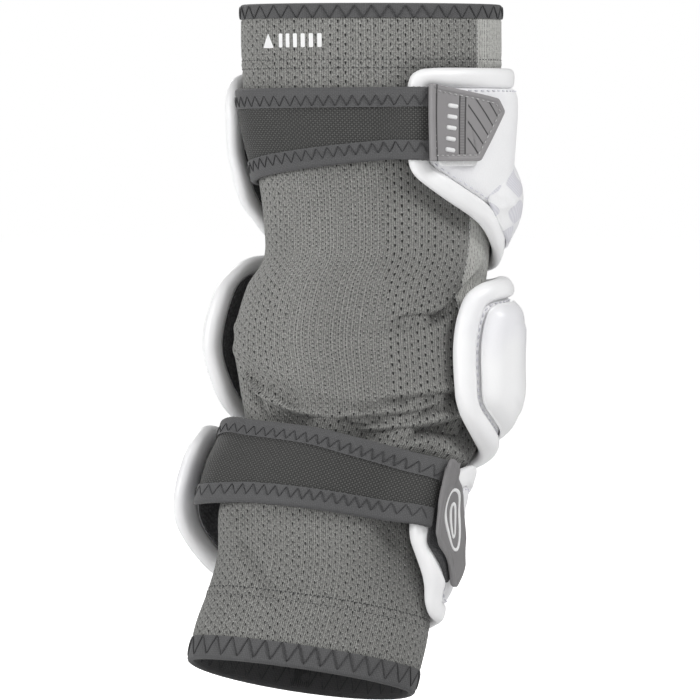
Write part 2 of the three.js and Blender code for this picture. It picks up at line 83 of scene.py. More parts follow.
# Sections of the arm: height and place of the middle, half width, depth to the crook and to
# the back, tilt and forward lean in degrees. The same values drive the CAD sleeve.
SECTIONS = np.array([
    [165.5, 0.5, 62.5, 36, 46, 0, 0],
    [139, 0.7, 62.2, 37, 46, -0.2, 0],
    [111, 1, 60.5, 37, 46, -0.5, 0],
    [83, 3, 56.5, 37, 45, -0.5, 0],
    [60, 3.6, 54.5, 37, 45, -0.5, 1],
    [43.5, 3, 54, 38, 45, 0.5, 3],
    [28.5, -2.2, 57, 38, 45, 1.5, 5],
    [2, -6, 59.3, 38, 45, 2.8, 8],
    [-21, -4.6, 58, 37, 44, 4.7, 11],
    [-41.3, -4.6, 55.7, 34, 43, 5.9, 13],
    [-63.5, -16.8, 51, 30, 41, 8.7, 13],
    [-83.5, -21.4, 51.2, 28, 40, 8.6, 13],
    [-105, -21.8, 51.7, 27, 39, 9, 13],
    [-123.5, -24.9, 53.6, 26, 38, 8.8, 13],
    [-138.5, -29.2, 54.7, 25, 39, 8.7, 13.5],
    [-154.5, -33, 54.3, 24, 40, 8.5, 15],
])

# Large creases and ridges: turn and distance along of both ends, half width and height
FOLDS = np.array([
    [74, 130, 27, 156, 6, -2.2],
    [-8, 166, 34, 160, 4, -1.1],
    [-74, 180, -36, 199, 6, -2.8],
    [-40, 199, 6, 205, 5, -1.8],
    [0, 203, 64, 189, 4.5, -1.9],
    [8, 206, 76, 203, 4.5, -2.2],
    [10, 203, 72, 196, 3, 1.1],
    [-67, 194, -58, 201, 4, 1.6],
    [54, 215, 78, 217, 5, 1.6],
    [-50, 263, -12, 292, 9, -1.8],
])

BICEP_OUTLINE = (
    (15.5, 38), (15, 50), (15, 66), (15, 76), (18, 82.5), (26, 89), (38, 96.5), (57, 106),
    (74, 116), (92, 123.5), (115, 126.5), (150, 127), (190, 125), (218, 120), (236, 112),
    (248, 102), (256, 91), (259, 78), (259, 62), (258, 47), (251, 35.5), (230, 31), (190, 30.5),
    (140, 30.5), (90, 31), (50, 31), (26, 31.2), (18.5, 33),
)
ELBOW_OUTLINE = (
    (74, 131.5), (61, 134.5), (53, 139.5), (49.5, 146), (47.2, 156), (46.3, 170), (46.3, 184),
    (48, 194), (53, 201.5), (64, 208), (78, 211.5), (100, 214), (125, 217), (155, 219),
    (205, 214), (235, 204.5), (252, 194.5), (261, 178), (263.5, 157), (262, 136), (255, 124.5),
    (239, 119.5), (218, 123), (190, 128.5), (155, 130.5), (115, 130), (90, 129.5),
)
FOREARM_OUTLINE = (
    (61, 225), (52, 233), (47, 246), (47.5, 258), (53, 269), (60, 280), (64, 288), (71, 293),
    (82, 294), (100, 293.5), (140, 297), (190, 294), (227, 284), (248, 269), (258, 252),
    (260, 233), (260, 217.5), (253, 207), (238, 208), (205, 218.5), (155, 223.5), (105, 220),
    (78, 218.5),
)
BULGE_OUTLINE = (
    (60.5, 90), (62.5, 100), (75, 109.3), (100, 116), (150, 117.5), (195, 114), (225, 103),
    (236, 86), (215, 77), (150, 75), (95, 76),
)
FOREARM_PANEL_OUTLINE = (
    (90, 238), (88, 254), (95, 268), (112, 279), (145, 283), (190, 279), (220, 266), (234, 248),
    (229, 231), (192, 233), (150, 237), (110, 235),
)

# Straps: turn, distance along of both edges, lift of both edges off the sleeve
UPPER_STRAP = np.array([
    [-112, 40, 86.5, 0.7, 0.7],
    [-90, 40, 85, 0.7, 0.7],
    [-60, 40, 81.3, 0.7, 0.7],
    [-20, 40, 76.8, 0.7, 0.7],
    [2, 40, 74.8, 0.8, 0.8],
    [8, 40, 74.4, 2.8, 2.8],
    [12, 40, 74.5, 6.2, 6.2],
    [15.5, 40, 74.7, 9, 9],
    [18, 40, 74.8, 9.6, 9.6],
    [24.5, 40, 75.2, 9.6, 9.6],
])
LOWER_STRAP = np.array([
    [-120, 208, 245, 8, 8],
    [-104, 208, 251, 10, 10.4],
    [-92, 207, 254.5, 8.4, 9.4],
    [-78, 207, 255, 5.2, 6.2],
    [-62, 209.5, 254.5, 1.8, 2.2],
    [-48, 211, 254, 0.8, 0.9],
    [-20, 213.5, 254, 0.8, 0.8],
    [0, 216.5, 254, 0.8, 0.8],
    [24, 219, 254, 1, 1.2],
    [34, 220.2, 254, 4, 4.6],
    [41, 221, 254, 8.4, 9],
    [46, 221.6, 254, 10.8, 11.4],
    [53, 222, 254, 11.4, 12],
])
UPPER_TAB_CORNERS = ((22.4, 38.5), (57, 45.8), (61.5, 52), (47.5, 75.3), (22.4, 75.3))
UPPER_HOOK_CORNERS = ((27.5, 41.5), (50, 47), (52, 66), (46.5, 77.6), (27.5, 77.6))
LOWER_TAB_CORNERS = (
    (46, 221.5), (48.5, 221.8), (69, 235), (81, 253), (82, 266), (76.5, 277.5),
    (72.5, 277), (65.3, 267), (54, 256.5), (53.2, 246), (50.8, 234),
)
LOWER_HOOK_CORNERS = (
    (54.5, 229), (68, 237), (80, 256), (71.5, 277), (67.5, 275.5), (53.5, 261.5),
)


def ease(low: float, high: float, x: Array | float) -> Array:
    """Smooth step, 3t^2 - 2t^3 with t running from 0 at low to 1 at high.

    Args:
        low: Where the step starts; above high for a falling step.
        high: Where the step ends.
        x: Places to work out.

    Returns:
        Values from 0 to 1.
    """
    t = np.clip((np.asarray(x, float) - low) / (high - low), 0, 1)
    return t * t * (3 - 2 * t)


def read_table(table: Array, at: Array) -> Array:
    """Reads a table between its rows along the cubic whose slopes join the rows next to it.

    Args:
        table: Rows whose first column grows.
        at: Places on the first column.

    Returns:
        The other columns at each place, on a last axis.
    """
    keys = table[:, 0]
    values = table[:, 1:]
    slope = np.empty_like(values)
    slope[1:-1] = (values[2:] - values[:-2]) / (keys[2:] - keys[:-2])[:, None]
    slope[0] = (values[1] - values[0]) / (keys[1] - keys[0])
    slope[-1] = (values[-1] - values[-2]) / (keys[-1] - keys[-2])
    held = np.clip(at, keys[0], keys[-1])
    i = np.clip(np.searchsorted(keys, held, side="right") - 1, 0, len(keys) - 2)
    step = (keys[i + 1] - keys[i])[..., None]
    u = (held - keys[i])[..., None] / step
    cubic = (
        (2 * u**3 - 3 * u**2 + 1) * values[i]
        + (u**3 - 2 * u**2 + u) * step * slope[i]
        + (3 * u**2 - 2 * u**3) * values[i + 1]
        + (u**3 - u**2) * step * slope[i + 1]
    )
    past = (at - held)[..., None]
    return cubic + past * np.where(past < 0, slope[0], slope[-1])


@dataclass(frozen=True)
class Arm:
    """The arm that fills the pad: a bent stack of half-ellipse sections.

    Attributes:
        sections: One row for each section, as in SECTIONS.
    """

    sections: Array

    def table(self) -> Array:
        """Sections led by their distance along, with y added from the lean."""
        z, x, lean = self.sections[:, 0], self.sections[:, 1], self.sections[:, 6]
        drop = -np.diff(z)
        forward = drop * np.tan(np.radians((lean[1:] + lean[:-1]) / 2))
        step = np.sqrt(np.diff(x) ** 2 + drop**2 + forward**2)
        along = np.concatenate([[0], np.cumsum(step)])
        y = -np.concatenate([[0], np.cumsum(forward)])
        return np.column_stack([along, x, y, z, self.sections[:, 2:]])

    def length(self) -> float:
        """Distance along from the upper mouth to the lower one."""
        return float(self.table()[-1, 0])

    def point(self, turn: Array, along: Array, lift: Array | float) -> Array:
        """Places on the arm: the section's ellipse, pushed out by lift along its normal.

        Args:
            turn: Degrees round the arm, 0 at the crook and 90 at +X.
            along: Distance from the upper mouth.
            lift: Distance off the sleeve's outer face.

        Returns:
            Points in millimetres, on a last axis of three.
        """
        turn, along, lift = np.broadcast_arrays(
            np.asarray(turn, float), np.asarray(along, float), np.asarray(lift, float))
        x, y, z, half, front, back, roll, lean = np.moveaxis(
            read_table(self.table(), along), -1, 0)
        angle, roll, lean = np.radians(turn), np.radians(roll), np.radians(lean)
        side = np.stack([np.cos(roll), np.zeros_like(roll), -np.sin(roll)], -1)
        ahead = np.stack(
            [np.sin(lean) * np.sin(roll), -np.cos(lean), np.sin(lean) * np.cos(roll)], -1)
        depth = np.where(np.cos(angle) > 0, front, back)
        nu, nv = np.sin(angle) / half, np.cos(angle) / depth
        size = np.hypot(nu, nv)
        across = half * np.sin(angle) + lift * nu / size
        out = depth * np.cos(angle) + lift * nv / size
        return (np.stack([x, y, z], -1) + across[..., None] * side + out[..., None] * ahead)

    def arc(self, turn: Array, along: Array, lift: float = 4.8) -> Array:
        """Millimetres of arc in one degree of turn, at a lift off the sleeve.

        Args:
            turn: Degrees round the arm.
            along: Distance from the upper mouth.
            lift: Distance off the sleeve's outer face.

        Returns:
            Millimetres a degree.
        """
        row = read_table(self.table(), np.asarray(along, float))
        angle = np.radians(turn)
        depth = np.where(np.cos(angle) > 0, row[..., 4], row[..., 5])
        reach = np.hypot(row[..., 3] * np.cos(angle), depth * np.sin(angle))
        return np.radians(reach + lift)

    def normal(self, turn: Array, along: Array) -> Array:
        """Outward directions: from a point to the same place one millimetre further off."""
        return self.point(turn, along, 1.0) - self.point(turn, along, 0.0)


ARM = Arm(SECTIONS)
ARM_LENGTH = ARM.length()


def on_arm(turn: Array, along: Array, lift: Height, more: Array | float = 0.0) -> Array:
    """Places on the arm at a height that changes over it, plus an offset."""
    return ARM.point(turn, along, lift(turn, along) + more)


def level(height: float) -> Height:
    """A height that is the same everywhere."""
    return lambda turn, along: height + 0 * turn


def circle(count: int) -> Array:
    """Angles of equal steps round a circle, in radians."""
    return np.linspace(0, 2 * math.pi, count, endpoint=False)


def reaches(points: Array) -> Array:
    """Length of a line up to each of its points."""
    return np.concatenate([[0], np.cumsum(np.linalg.norm(np.diff(points, axis=0), axis=1))])


def ridges(lines: Array, turn: Array, along: Array) -> Array:
    """Sum of soft ridges, each its height times exp(-(distance to its line / half width)^2).

    Args:
        lines: Rows of turn and along of both ends, half width, height.
        turn: Degrees round the arm.
        along: Distance from the upper mouth.

    Returns:
        Heights in millimetres.
    """
    x = (((np.asarray(turn, float) + 180) % 360) - 180) * MM_PER_DEGREE
    total = np.zeros(np.broadcast(x, along).shape)
    for turn_a, along_a, turn_b, along_b, width, height in lines:
        ax, bx = turn_a * MM_PER_DEGREE, turn_b * MM_PER_DEGREE
        dx, dy = bx - ax, along_b - along_a
        share = np.clip(((x - ax) * dx + (along - along_a) * dy) / (dx * dx + dy * dy), 0, 1)
        away = np.hypot(x - ax - share * dx, along - along_a - share * dy)
        total += height * np.exp(-((away / width) ** 2))
    return total


def closed_curve(outline: Corners, count: int) -> Array:
    """Closed Catmull-Rom curve through the outline, cut into steps of equal length.

    Args:
        outline: Turn and distance along of each corner.
        count: Number of points wanted.

    Returns:
        Points as turn and distance along.
    """
    corners = np.array(outline, float) * [MM_PER_DEGREE, 1]
    u = np.linspace(0, 1, 48, endpoint=False)[None, :, None]
    before, here = np.roll(corners, 1, 0)[:, None], corners[:, None]
    after, later = np.roll(corners, -1, 0)[:, None], np.roll(corners, -2, 0)[:, None]
    fine = (
        (2 * u**3 - 3 * u**2 + 1) * here + (u**3 - 2 * u**2 + u) * (after - before) / 2
        + (3 * u**2 - 2 * u**3) * after + (u**3 - u**2) * (later - here) / 2
    ).reshape(-1, 2)
    return evenly(fine, count) / [MM_PER_DEGREE, 1]


def evenly(points: Array, count: int) -> Array:
    """Cuts a closed line into steps of equal length.

    Args:
        points: The line's points, the last joined to the first.
        count: Number of points wanted.

    Returns:
        The new points.
    """
    loop = np.vstack([points, points[:1]])
    reach = reaches(loop)
    at = np.linspace(0, reach[-1], count, endpoint=False)
    return np.column_stack([np.interp(at, reach, loop[:, k]) for k in range(loop.shape[1])])


def rounded_polygon(corners: Corners, radius: float, count: int) -> Array:
    """Polygon whose corners are small parabolas, cut into steps of equal length.

    Args:
        corners: Turn and distance along of each corner.
        radius: How far from the corner its rounding starts.
        count: Number of points wanted.

    Returns:
        Points as turn and distance along.
    """
    flat = np.array(corners, float) * [MM_PER_DEGREE, 1]
    before, after = np.roll(flat, 1, 0) - flat, np.roll(flat, -1, 0) - flat
    start = flat + radius * before / np.linalg.norm(before, axis=1, keepdims=True)
    end = flat + radius * after / np.linalg.norm(after, axis=1, keepdims=True)
    t = np.linspace(0, 1, 9)[None, :, None]
    arcs = (
        (1 - t) ** 2 * start[:, None] + 2 * t * (1 - t) * flat[:, None] + t**2 * end[:, None])
    return evenly(arcs.reshape(-1, 2), count) / [MM_PER_DEGREE, 1]


def inward(curve: Array, spread: int) -> Array:
    """Directions into a closed curve: its edge normals, averaged over their neighbours.

    Args:
        curve: Points as turn and distance along.
        spread: Number of neighbours averaged on each side.

    Returns:
        Unit directions in millimetres round and along the arm.
    """
    flat = curve * [MM_PER_DEGREE, 1]
    step = np.roll(flat, -1, 0) - np.roll(flat, 1, 0)
    normal = np.column_stack([step[:, 1], -step[:, 0]])
    normal /= np.linalg.norm(normal, axis=1, keepdims=True)
    sense = np.sign(np.sum(normal * (flat.mean(0) - flat)))
    smooth = sum(np.roll(normal, k, 0) for k in range(-spread, spread + 1))
    return sense * smooth / np.linalg.norm(smooth, axis=1, keepdims=True)


def inset(curve: Array, direction: Array, distance: Array | float) -> Array:
    """Moves each point of a curve inward by a distance measured on the arm.

    Args:
        curve: Points as turn and distance along.
        direction: What inward() gives for the curve.
        distance: Millimetres inward; negative goes outward.

    Returns:
        The moved points.
    """
    arc = ARM.arc(curve[..., 0], curve[..., 1])
    return np.stack([
        curve[..., 0] + direction[..., 0] * distance / arc,
        curve[..., 1] + direction[..., 1] * distance,
    ], -1)


def relaxed(curve: Array, reach: float) -> Array:
    """Closed curve whose points are averaged with their neighbours up to a reach away.

    Args:
        curve: Points as turn and distance along, evenly spaced.
        reach: Millimetres averaged on each side.

    Returns:
        The averaged points.
    """
    step = np.linalg.norm((curve[1] - curve[0]) * [MM_PER_DEGREE, 1])
    count = int(np.clip(reach / step, 0, len(curve) // 6))
    return sum(np.roll(curve, k, 0) for k in range(-count, count + 1)) / (2 * count + 1)


def grid_faces(rows: int, columns: int, wrap_rows: bool = False) -> tuple[Array, Array]:
    """Quads of a grid whose rows are closed.

    Args:
        rows: Number of rows of points.
        columns: Number of points in a row.
        wrap_rows: Whether the last row joins the first.

    Returns:
        Four (row, column) pairs for each quad, which may lie one past the end, and the
        quad's four corner numbers.
    """
    i, j = np.meshgrid(
        np.arange(rows if wrap_rows else rows - 1), np.arange(columns), indexing="ij")
    i, j = i.ravel(), j.ravel()
    places = np.stack([
        np.stack([i, j], -1), np.stack([i, j + 1], -1),
        np.stack([i + 1, j + 1], -1), np.stack([i + 1, j], -1)], 1)
    return places, (places[..., 0] % rows) * columns + places[..., 1] % columns


def end_fans(pole: int, rows: int, columns: int) -> Array:
    """Triangles that close a grid of closed rows at its first and last row.

    Args:
        pole: Number of the point in the first row's middle; the next one is in the last's.
        rows: Number of rows.
        columns: Number of points in a row.

    Returns:
        Corner numbers, facing as the grid's quads do.
    """
    j = np.arange(columns)
    k = (j + 1) % columns
    last = (rows - 1) * columns
    return np.vstack([
        np.column_stack([np.full(columns, pole), k, j]),
        np.column_stack([np.full(columns, pole + 1), last + j, last + k])])


def make_mesh(
    name: str,
    points: Array,
    faces: Sequence[Array],
    cloth: Sequence[Array] | None = None,
    sharp: float = 180.0,
) -> Piece:
    """Puts points and faces into a new object, turned so that a closed shape faces out.

    Args:
        name: Name of the piece.
        points: Points in millimetres.
        faces: Arrays of corner numbers, one array for each face size.
        cloth: Pattern coordinates in millimetres of the same corners, or None.
        sharp: Angle in degrees above which an edge stays sharp.

    Returns:
        The new object, at the origin.
    """
    fans = [f[:, [0, k, k + 1]] for f in faces for k in range(1, f.shape[1] - 1)]
    a, b, c = np.moveaxis(points[np.concatenate(fans)], 1, 0)
    if np.einsum("ij,ij->", a, np.cross(b, c)) < 0:
        faces = [f[:, ::-1] for f in faces]
        cloth = None if cloth is None else [q[:, ::-1] for q in cloth]
    mesh = bpy.data.meshes.new(name)
    mesh.vertices.add(len(points))
    mesh.vertices.foreach_set("co", (points * MM).astype(np.float32).ravel())
    corners = np.concatenate([f.ravel() for f in faces])
    sizes = np.concatenate([np.full(len(f), f.shape[1]) for f in faces])
    mesh.loops.add(len(corners))
    mesh.loops.foreach_set("vertex_index", corners.astype(np.int32))
    mesh.polygons.add(len(sizes))
    starts = np.concatenate([[0], np.cumsum(sizes)[:-1]])
    mesh.polygons.foreach_set("loop_start", starts.astype(np.int32))
    mesh.update(calc_edges=True)
    if cloth is not None:
        layer = mesh.uv_layers.new(name="cloth")
        layer.uv.foreach_set(
            "vector", (np.concatenate([q.reshape(-1, 2) for q in cloth]) * MM).ravel())
    mesh.validate()
    mesh.shade_smooth()
    if sharp < 180:
        mesh.set_sharp_from_angle(angle=math.radians(sharp))
    piece = bpy.data.objects.new(name, mesh)
    bpy.context.scene.collection.objects.link(piece)
    return piece


def make_tube(
    name: str,
    points: Array,
    cloth: Array | None = None,
    closed_path: bool = True,
    sharp: float = 180.0,
) -> Piece:
    """Skins a closed profile carried along a path, with flat ends on an open path.

    Args:
        name: Name of the piece.
        points: Points on a grid of path steps by profile places.
        cloth: Pattern coordinates on the same grid, with one more row and column.
        closed_path: Whether the path comes back to its start.
        sharp: Angle above which an edge stays sharp.

    Returns:
        The new object.
    """
    rows, columns = points.shape[:2]
    places, quads = grid_faces(rows, columns, closed_path)
    faces = [quads]
    patterns = None if cloth is None else [cloth[places[..., 0], places[..., 1]]]
    flat = points.reshape(-1, 3)
    if not closed_path:
        faces.append(end_fans(len(flat), rows, columns))
        flat = np.vstack([flat, points[0].mean(0), points[-1].mean(0)])
        if patterns is not None:
            j = np.arange(columns)
            ends = np.vstack([
                np.stack([cloth[0, j], cloth[0, j + 1], cloth[0, j]], 1),
                np.stack([cloth[-1, j], cloth[-1, j], cloth[-1, j + 1]], 1)])
            patterns.append(ends)
    return make_mesh(name, flat, faces, patterns, sharp)


def make_disc(
    name: str, rings: Array, poles: Array, cloth: Array, sharp: float = 180.0
) -> Piece:
    """Skins closed rings that run from a pole on top, over the edge, to a pole below.

    Args:
        name: Name of the piece.
        rings: Points on a grid of rings by places round the ring.
        poles: The upper and the lower pole.
        cloth: Pattern coordinates of the rings and, last, of the poles, as one list.
        sharp: Angle above which an edge stays sharp.

    Returns:
        The new object.
    """
    rows, columns = rings.shape[:2]
    _, quads = grid_faces(rows, columns)
    flat = np.vstack([rings.reshape(-1, 3), poles])
    fans = end_fans(rows * columns, rows, columns)
    return make_mesh(name, flat, [quads, fans], [cloth[quads], cloth[fans]], sharp)


def make_threads(
    name: str,
    starts: Array,
    ends: Array,
    out: Array,
    radius: float,
    arch: float,
    sides: int = 6,
    steps: int = 5,
) -> Piece:
    """Many short threads in one mesh, each an arched capsule between two needle holes.

    A thread's middle line runs straight from start to end plus arch times sin(pi t) outward,
    and its radius is radius times (1 - (2t - 1)^6)^0.5, so that it closes in each hole.

    Args:
        name: Name of the piece.
        starts: First hole of each thread, in millimetres.
        ends: Second hole of each thread.
        out: Unit direction out of the cloth at each thread.
        radius: Radius of the thread.
        arch: How far its middle stands out.
        sides: Sides of the thread.
        steps: Rings along the thread.

    Returns:
        The new object.
    """
    t = np.linspace(0, 1, steps + 2)[1:-1]
    along = ends - starts
    along /= np.linalg.norm(along, axis=1, keepdims=True)
    across = np.cross(out, along)
    across /= np.linalg.norm(across, axis=1, keepdims=True)
    up = np.cross(along, across)
    middle = (
        starts[:, None] + (ends - starts)[:, None] * t[None, :, None]
        + arch * np.sin(math.pi * t)[None, :, None] * up[:, None])
    angle = circle(sides)
    thick = radius * np.sqrt(1 - (2 * t - 1) ** 6)
    ring = thick[None, :, None, None] * (
        np.cos(angle)[None, None, :, None] * across[:, None, None]
        + np.sin(angle)[None, None, :, None] * up[:, None, None])
    body = middle[:, :, None] + ring
    count = len(starts)
    size = steps * sides + 2
    points = np.concatenate(
        [body.reshape(count, -1, 3), starts[:, None], ends[:, None]], 1).reshape(-1, 3)
    _, quads = grid_faces(steps, sides)
    fans = end_fans(size - 2, steps, sides)
    shift = (np.arange(count) * size)[:, None, None]
    return make_mesh(
        name, points, [(quads + shift).reshape(-1, 4), (fans + shift).reshape(-1, 3)])


def run_of_stitches(
    name: str, path: Array, lift: Height, stitch: float, gap: float, radius: float = 0.28
) -> Piece:
    """A sewn line of separate stitches along a path on the arm.

    Args:
        name: Name of the piece.
        path: Turn and distance along of a dense open path.
        lift: Height of the cloth that is sewn.
        stitch: Length of a stitch.
        gap: Distance between stitches.
        radius: Radius of the thread.

    Returns:
        The new object.
    """
    reach = reaches(on_arm(*path.T, lift))
    count = max(1, int(reach[-1] / (stitch + gap)))
    begin = np.linspace(0, reach[-1], count, endpoint=False) + gap / 2
    start, middle, end = (
        [np.interp(begin + s, reach, column) for column in path.T]
        for s in (0, stitch / 2, stitch))
    hole = radius * 0.4
    return make_threads(
        name, on_arm(*start, lift, hole), on_arm(*end, lift, hole), ARM.normal(*middle),
        radius, radius * 0.8)


def zigzag(
    name: str,
    turn: tuple[float, float],
    edge: Callable[[Array, float], Array],
    lift: Height,
    pitch: float,
    closed: bool,
    radius: float = 0.3,
) -> Piece:
    """A zigzag stitch along a tape: threads that go from one side of it to the other.

    Args:
        name: Name of the piece.
        turn: Turns where the line starts and ends.
        edge: Distance along at a turn, for a share from 0 to 1 of the zigzag's width.
        lift: Height of the tape's face.
        pitch: Length of one full zigzag.
        closed: Whether the line goes right round the arm.
        radius: Radius of the thread.

    Returns:
        The new object.
    """
    fine = np.linspace(*turn, 721)
    reach = reaches(ARM.point(fine, edge(fine, 0.5), 1.0))
    count = 2 * max(1, round(reach[-1] / pitch))
    at = np.interp(np.linspace(0, reach[-1], count + 1), reach, fine)
    if not closed:
        at = at[1:-1]
    along = np.where(np.arange(len(at)) % 2 == 0, edge(at, 0.0), edge(at, 1.0))
    holes = on_arm(at, along, lift, radius * 0.3)
    middle = ((line[1:] + line[:-1]) / 2 for line in (at, along))
    rise = float(np.clip(radius * 0.9, 0.15, 0.5))
    return make_threads(name, holes[:-1], holes[1:], ARM.normal(*middle), radius, rise, 6, 7)


class Role(Enum):
    """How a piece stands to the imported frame."""

    REPLACES = "takes the place of its CAD solid"
    ADDED = "lies on another piece"


def operator(kind: str, swapped: bool = False) -> Callable[["Number", "Value"], "Number"]:
    """Arithmetic on node values.

    Args:
        kind: Operation of the math node that it adds.
        swapped: Whether the other value comes first.

    Returns:
        The operator.
    """
    def apply(own: "Number", other: "Value") -> "Number":
        """Adds the node."""
        return own.wiring.math(kind, *((other, own) if swapped else (own, other)))

    return apply


class Number:
    """A value or colour that changes over the surface; arithmetic on it adds math nodes."""

    def __init__(self, wiring: "Wiring", socket: Socket) -> None:
        """Keeps the node tree's wiring and the socket that gives the value."""
        self.wiring, self.socket = wiring, socket

    __add__, __radd__ = operator("ADD"), operator("ADD", True)
    __sub__, __rsub__ = operator("SUBTRACT"), operator("SUBTRACT", True)
    __mul__, __truediv__ = operator("MULTIPLY"), operator("DIVIDE")
    __mod__, __pow__ = operator("FLOORED_MODULO"), operator("POWER")

    def __abs__(self) -> "Number":
        """The value without its sign."""
        return self.wiring.math("ABSOLUTE", self)


Value = Number | float
NodeTree = bpy.types.NodeTree


class Wiring:
    """Short calls for building one node tree."""

    def __init__(self, tree: NodeTree) -> None:
        """Keeps the tree."""
        self.tree = tree

    def put(self, socket: Socket, value: object) -> None:
        """Links a socket to a node value, or sets it.

        Args:
            socket: The input.
            value: What it gets.
        """
        if isinstance(value, Number):
            self.tree.links.new(value.socket, socket)
        else:
            socket.default_value = value

    def node(self, kind: str, values: dict[int | str, object], **settings: object) -> bpy.types.Node:
        """Adds a node, sets its properties and fills its inputs.

        Args:
            kind: Type of the node.
            values: Its inputs' values.
            settings: Its properties.

        Returns:
            The node.
        """
        node = self.tree.nodes.new(kind)
        for key, value in settings.items():
            setattr(node, key, value)
        for key, value in values.items():
            self.put(node.inputs[key], value)
        return node

    def result(
        self, output: int | str, kind: str, values: dict[int | str, object], **settings: object
    ) -> Number:
        """One output of a new node."""
        return Number(self, self.node(kind, values, **settings).outputs[output])

    def math(self, operation: str, *values: Value, clamp: bool = False) -> Number:
        """Result of a math node."""
        return self.result(
            0, "ShaderNodeMath", dict(enumerate(values)), operation=operation, use_clamp=clamp)

    def step(self, low: float, high: float, value: Value) -> Number:
        """Smooth step of a value, 0 at low and 1 at high."""
        return self.result(
            0, "ShaderNodeMapRange", dict(enumerate((value, low, high, 0.0, 1.0))),
            interpolation_type="SMOOTHSTEP")

    def noise(self, vector: Number, scale: float, detail: float) -> Number:
        """Noise from 0 to 1 on a vector in metres, scale in features a metre."""
        return self.result(
            "Fac", "ShaderNodeTexNoise", {"Vector": vector, "Scale": scale, "Detail": detail})

    def blend(self, share: Value, a: object, b: object, mode: str = "MIX") -> Number:
        """Mix of two colours."""
        return self.result(
            2, "ShaderNodeMix", {0: share, 6: a, 7: b}, data_type="RGBA", blend_type=mode)

    def toned(self, colour: object, tone: Number) -> Number:
        """A colour times a tone around 1."""
        grey = self.result(0, "ShaderNodeCombineColor", dict.fromkeys(range(3), tone))
        return self.blend(1.0, colour, grey, "MULTIPLY")

    def group(self, tree: NodeTree, **values: object) -> dict[str, Number]:
        """Outputs of a node group that is placed with its own values."""
        node = self.node("ShaderNodeGroup", values, node_tree=tree)
        return {output.name: Number(self, output) for output in node.outputs}

    def cloth(self) -> Number:
        """The piece's own pattern coordinates, in metres."""
        return self.result(0, "ShaderNodeUVMap", {}, uv_map="cloth")

    def place(self) -> Number:
        """Object coordinates, in metres."""
        return self.result("Object", "ShaderNodeTexCoord", {})

    def millimetres(self, vector: Number) -> tuple[Number, Number]:
        """X and Y of a vector in metres, as millimetres."""
        node = self.node("ShaderNodeSeparateXYZ", {0: vector})
        return Number(self, node.outputs[0]) * 1000.0, Number(self, node.outputs[1]) * 1000.0

    def attribute(self, name: str) -> Number:
        """A value kept on the piece's own points."""
        return self.result("Fac", "ShaderNodeAttribute", {}, attribute_name=name)

    def shade(self, name: str, value: object) -> None:
        """Links or sets an input of the material's Principled shader."""
        self.put(self.tree.nodes["Principled BSDF"].inputs[name], value)

    def bump(self, height: Number, depth: float) -> None:
        """Feeds a height from 0 to 1, of a depth in metres, into the shader's normal."""
        self.shade("Normal", self.result(
            0, "ShaderNodeBump", {"Strength": 1.0, "Distance": depth, "Height": height}))


class GroupWiring(Wiring):
    """Wiring of a new shader node group, whose first input is the vector Place."""

    def __init__(self, name: str, outputs: Sequence[str], **inputs: float) -> None:
        """Starts the group.

        Args:
            name: Name of the group.
            outputs: Names of its outputs.
            inputs: Default of each other input.
        """
        super().__init__(bpy.data.node_groups.new(name, "ShaderNodeTree"))
        sockets = [("Place", "INPUT", "Vector"), *((key, "INPUT", "Float") for key in inputs),
                   *((key, "OUTPUT", "Float") for key in outputs)]
        for key, way, kind in sockets:
            socket = self.tree.interface.new_socket(
                name=key, in_out=way, socket_type=f"NodeSocket{kind}")
            if key in inputs:
                socket.default_value = inputs[key]
        self.start, self.end = self.node("NodeGroupInput", {}), self.node("NodeGroupOutput", {})

    def given(self, name: str) -> Number:
        """An input of the group."""
        return Number(self, self.start.outputs[name])

    def give(self, name: str, value: Number) -> None:
        """Links an output of the group."""
        self.put(self.end.inputs[name], value)


@cache
def knit_group() -> NodeTree:
    """Knit ribs: sin of the place round times a short sin along, as height from 0 to 1.

    Returns:
        Group with inputs Place, Rib and Course in millimetres, and outputs Height and Valley.
    """
    w = GroupWiring("knit", ("Height", "Valley"), Rib=1.1, Course=0.9)
    x, y = w.millimetres(w.given("Place"))
    rib = w.math("SINE", x / w.given("Rib") * (2 * math.pi))
    loop = w.math("SINE", (y / w.given("Course") + abs(rib) * 0.35) * (2 * math.pi))
    high = rib * 0.5 + 0.5
    w.give("Height", high * 0.7 + (loop * 0.5 + 0.5) * 0.3)
    w.give("Valley", (1.0 - high) ** 3.0)
    return w.tree


@cache
def eyelet_group() -> NodeTree:
    """Eyelets on a staggered lattice: teardrops, wide above and narrow below.

    The distance is the length of (|x| / half width, |y| / half height), measured from the
    middle of the lattice cell, and the half width shrinks downwards.

    Returns:
        Group with inputs Place, Across, Along, Width and Tall, and outputs Hole and Dot, a painted
        highlight on the loop of yarn above each hole.
    """
    w = GroupWiring("eyelets", ("Hole", "Dot"), Across=3.36, Along=4.4, Width=0.5, Tall=0.85)
    x, y = w.millimetres(w.given("Place"))
    pitch_x, pitch_y, tall = (w.given(name) for name in ("Across", "Along", "Tall"))
    across = x / pitch_x
    down = y / pitch_y + w.math("FLOOR", across) % 2.0 * 0.5
    cell_x = abs((w.math("FRACT", across) - 0.5) * pitch_x)
    cell_y = (w.math("FRACT", down) - 0.5) * pitch_y
    share_y = cell_y / tall
    wide = w.given("Width") * (share_y * -0.45 + 0.75)
    share_x = cell_x / w.math("MAXIMUM", wide, 0.05)
    far = w.math("SQRT", share_x ** 2.0 + abs(share_y) ** 2.0)
    w.give("Hole", w.step(1.2, 0.85, far))
    above = abs(cell_y + tall * 1.35)
    w.give("Dot", w.step(0.6, 0.25, w.math("SQRT", cell_x ** 2.0 + above ** 2.0)))
    return w.tree


